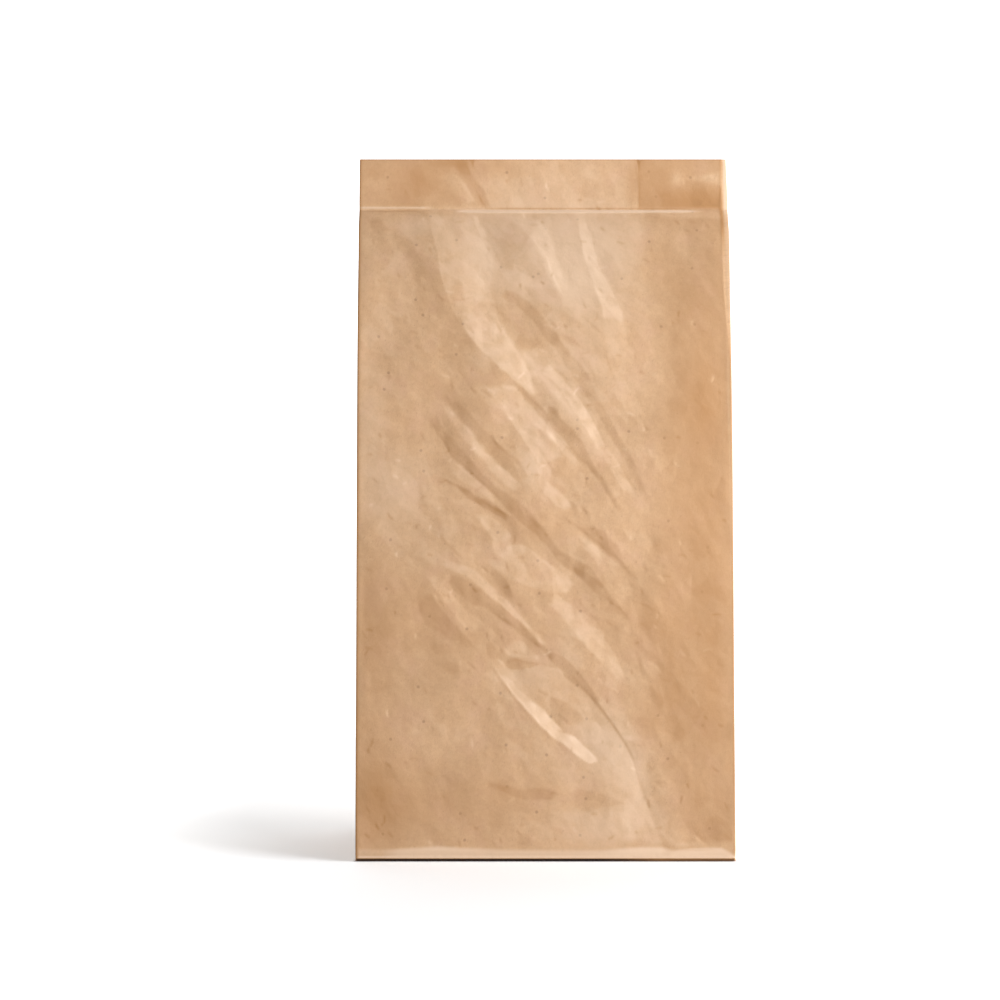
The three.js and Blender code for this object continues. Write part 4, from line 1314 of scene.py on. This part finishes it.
KRAFT_LIGHT = (0.615, 0.374, 0.208, 1)
KRAFT_DARK = (0.495, 0.296, 0.156, 1)
KRAFT_PINK = (0.592, 0.346, 0.217, 1)
KRAFT_FIBRE = (0.800, 0.560, 0.360, 1)
KRAFT_SPECK = (0.200, 0.095, 0.045, 1)
# pale paper for rubbed crease lines and painted highlight, deeper paper for painted shade, and near black for
# painted shadow
KRAFT_WORN_AND_LIT = (0.755, 0.540, 0.375, 1)
KRAFT_SHADE = (0.425, 0.215, 0.086, 1)
KRAFT_DEEP_SHADOW = (0.020, 0.006, 0.001, 1)


def kraft_paper():
    """Brown kraft paper: two tones in soft clouds, a fine grain, pale and dark fibres, a few dark specks, and
    the tones of the creases and folds, which are painted light and shade: paler where they face the light or
    are rubbed, deeper where they are turned away, and nearly black for painted shadow. Its pattern follows
    the sheet's own UV map, in millimetres."""
    n = Nodes("kraft_paper")
    sheet = n.add("UVMap", {"uv_map": "sheet"})
    place = n.add("VectorMath", {"operation": "SCALE"}, {"Vector": sheet, "Scale": UV_SPAN})

    def noise(size, detail=2.0, rough=0.5, turned=0.0, stretch=1.0, shift=0.0):
        """Noise with features of a size in millimetres, longer by a stretch along a turned direction."""
        turn = (0, 0, math.radians(turned))
        vector = n.add("Mapping", {"vector_type": "TEXTURE"},
                       {"Vector": place, "Location": (shift, shift, 0), "Rotation": turn,
                        "Scale": (size * stretch, size, 1)})
        return n.add("TexNoise", {"noise_dimensions": "2D"},
                     {"Vector": vector, "Scale": 1.0, "Detail": detail, "Roughness": rough})

    def crinkle(size, shift):
        """Thin lines, 0 in a line and 1 away from it, where noise of a size passes its middle value."""
        return n.maths("MINIMUM", n.maths("ABSOLUTE", noise(size, 1, shift=shift) - 0.5) * 5, 1)

    def specks(spacing, radius, share, shift):
        """Dots in some of the cells of a scatter: 1 in a dot and 0 outside it."""
        vector = n.add("VectorMath", {"operation": "ADD"}, {0: place, 1: (shift, shift, 0)})
        cell = n.add("TexVoronoi", {"voronoi_dimensions": "2D"}, {"Vector": vector, "Scale": 1 / spacing})
        hue = n.add("SeparateColor", {}, {"Color": cell.other("Color")})
        inside = 1 - n.ramp(cell, radius * 0.4 / spacing, radius / spacing)
        return inside * n.maths("GREATER_THAN", hue, 1 - share)

    clouds = noise(38, 3, 0.55)
    mottle = noise(7, 4, 0.6, shift=31)
    grain = noise(1.1, 2, 0.55, shift=77)
    dimple = noise(2.6, 2, 0.6, shift=140)
    warmth = noise(16, 3, 0.6, shift=210)
    strands = [n.ramp(noise(0.32, 1, 0.5, turned, 9, 13 * k + 5), 0.60, 0.70)
               for k, turned in enumerate((8, 47, 95, 140))]
    fibres = strands[0]
    for strand in strands[1:]:
        fibres = n.maths("MAXIMUM", fibres, strand)
    dark_fibres = n.ramp(noise(0.4, 1, 0.5, 70, 7, 400), 0.66, 0.74)

    depth = clouds * 0.4 + mottle * 0.34 + dimple * 0.2 + grain * 0.06
    colour = n.mix(n.ramp(depth, 0.22, 0.78), KRAFT_DARK, KRAFT_LIGHT)
    colour = n.mix(n.ramp(warmth, 0.45, 0.75) * 0.35, colour, KRAFT_PINK)
    colour = n.mix(fibres * 0.09, colour, KRAFT_FIBRE)
    colour = n.mix(dark_fibres * 0.14, colour, KRAFT_SPECK)
    colour = n.mix(specks(7, 0.4, 0.16, 3) * 0.22, colour, KRAFT_SPECK)
    colour = n.mix(specks(19, 1.0, 0.4, 90) * 0.38, colour, KRAFT_SPECK)
    # the tone attribute paints light and shade: paler above 0, deeper below 0, and nearly black below -1 for
    # painted shadow
    tone = n.add("Attribute", {"attribute_name": "tone"}, out="Fac")
    deep = tone * -1
    colour = n.mix(n.maths("MAXIMUM", tone, 0), colour, KRAFT_WORN_AND_LIT)
    colour = n.mix(n.maths("MAXIMUM", deep, 0), colour, KRAFT_SHADE)
    colour = n.mix(n.maths("MAXIMUM", deep - 1, 0), colour, KRAFT_DEEP_SHADOW)
    n.put(n.shader, "Base Color", colour)
    n.put(n.shader, "Roughness", 0.62 + mottle * 0.2)
    n.put(n.shader, "Specular IOR Level", 0.35)
    crinkles = crinkle(9, 260) * 0.6 + crinkle(4.5, 330) * 0.4
    relief = grain * 0.03 + dimple * 0.16 + mottle * 0.25 + fibres * 0.04 + crinkles * 0.15
    n.put(n.shader, "Normal", n.add("Bump", {}, {"Height": relief, "Distance": 0.0004, "Strength": 0.6}))
    return n.material


# ---- Set and lights, in metres ----
FLOOR_GLOW = 0.3
BAG_SHADE_DEPTH = 1.8  # mm, the floor under the bag's front and back edges glows from this far inside them
FLOOR_HALF, FLOOR_FRONT, FLOOR_BACK, FLOOR_TURN, WALL_TOP = 6.0, -4.0, 2.2, 1.2, 5.0
SKY = 0.2
KEY_WAY, KEY_AWAY = np.array([0.88, -0.36, 0.30]), 1.5  # from the bag to the key light
KEY_SIZE, KEY_POWER, KEY_COLOUR = 0.9, 38, (0.97, 1.0, 1.03)


def studio_white():
    """The floor's white. It glows, so that it stays plain white, more so behind the bag and not under it."""
    n = Nodes("studio_white")
    n.put(n.shader, "Base Color", (0.8, 0.8, 0.8, 1))
    n.put(n.shader, "Roughness", 0.8)
    side = n.add("SeparateXYZ", {}, {"Vector": n.add("TexCoord", out="Object")})
    depth = side.other("Y")
    beyond_side = n.maths("ABSOLUTE", side) - WIDTH / 2 * MM
    beyond_depth = n.maths("ABSOLUTE", depth) - (DEPTH / 2 - BAG_SHADE_DEPTH) * MM
    beyond = n.maths("MAXIMUM", beyond_side, beyond_depth)
    behind = n.maths("MAXIMUM", n.ramp(depth, 0.15, 0.9), n.ramp(side * -1, 0.10, 0.3))
    behind = n.maths("MAXIMUM", behind, n.ramp(depth, -0.03, 0.1) * 0.22)
    glow = (FLOOR_GLOW + behind * (1 - FLOOR_GLOW)) * n.ramp(beyond, 0, 0.001)
    n.put(n.shader, "Emission Color", n.mix(glow, (0, 0, 0, 1), (1, 1, 1, 1)))
    n.put(n.shader, "Emission Strength", 1)
    return n.material


def studio_floor():
    """A floor that curves up into a backdrop: a profile of floor, quarter circle and wall, drawn out in X."""
    turn = np.linspace(0, math.pi / 2, 25)
    curve = np.stack([FLOOR_BACK + FLOOR_TURN * np.sin(turn), FLOOR_TURN * (1 - np.cos(turn))], -1)
    profile = np.concatenate([[[FLOOR_FRONT, 0.0]], curve, [[FLOOR_BACK + FLOOR_TURN, WALL_TOP]]])
    count = len(profile)
    ends = [np.column_stack([np.full(count, x), profile]) for x in (-FLOOR_HALF, FLOOR_HALF)]
    k = np.arange(count - 1)
    faces = np.stack([k, k + count, k + count + 1, k + 1], -1)
    uvs = np.zeros((faces.size, 2))
    make_object("studio_floor", np.concatenate(ends) / MM, faces.tolist(), uvs, studio_white())


def studio_light(target):
    """A square area light, turned to a target."""
    light = bpy.data.lights.new("key_light", "AREA")
    light.shape = "SQUARE"
    light.size = KEY_SIZE
    light.energy = KEY_POWER
    light.color = KEY_COLOUR
    place = target + KEY_AWAY * KEY_WAY
    way = target - place
    made = bpy.data.objects.new("key_light", light)
    made.location = place
    tip = math.acos(-way[2] / np.linalg.norm(way))
    made.rotation_euler = (tip, 0, math.atan2(way[1], way[0]) - math.pi / 2)
    bpy.context.scene.collection.objects.link(made)


def studio_camera():
    camera = bpy.data.cameras.new("camera")
    camera.sensor_width = 36
    camera.lens = camera.sensor_width * PIXELS_PER_RADIAN / PHOTO_SIDE
    made = bpy.data.objects.new("camera", camera)
    made.location = (CAMERA_X * MM, -CAMERA_AWAY * MM, CAMERA_Z * MM)
    made.rotation_euler = (math.pi / 2, 0, 0)
    bpy.context.scene.collection.objects.link(made)
    bpy.context.scene.camera = made


def studio_sky():
    world = bpy.data.worlds.new("studio_sky")
    world.use_nodes = True
    world.node_tree.nodes["Background"].inputs["Color"].default_value = (1, 1, 1, 1)
    world.node_tree.nodes["Background"].inputs["Strength"].default_value = SKY
    bpy.context.scene.world = world


studio_camera()
studio_floor()
studio_sky()
studio_light(np.array([0, 0, HEIGHT * MM / 2]))
bpy.context.scene.view_settings.view_transform = "Standard"

# ---- The bag ----
paper_material = kraft_paper()
bag_pieces = [
    *bag_walls(paper_material),
    base_flap("base_front_flap", FRONT, 0.0, paper_material),
    base_flap("base_back_flap", BACK, PAPER + 0.02, paper_material),
]
for piece in bag_pieces:
    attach(piece, "root")
    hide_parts("bag")
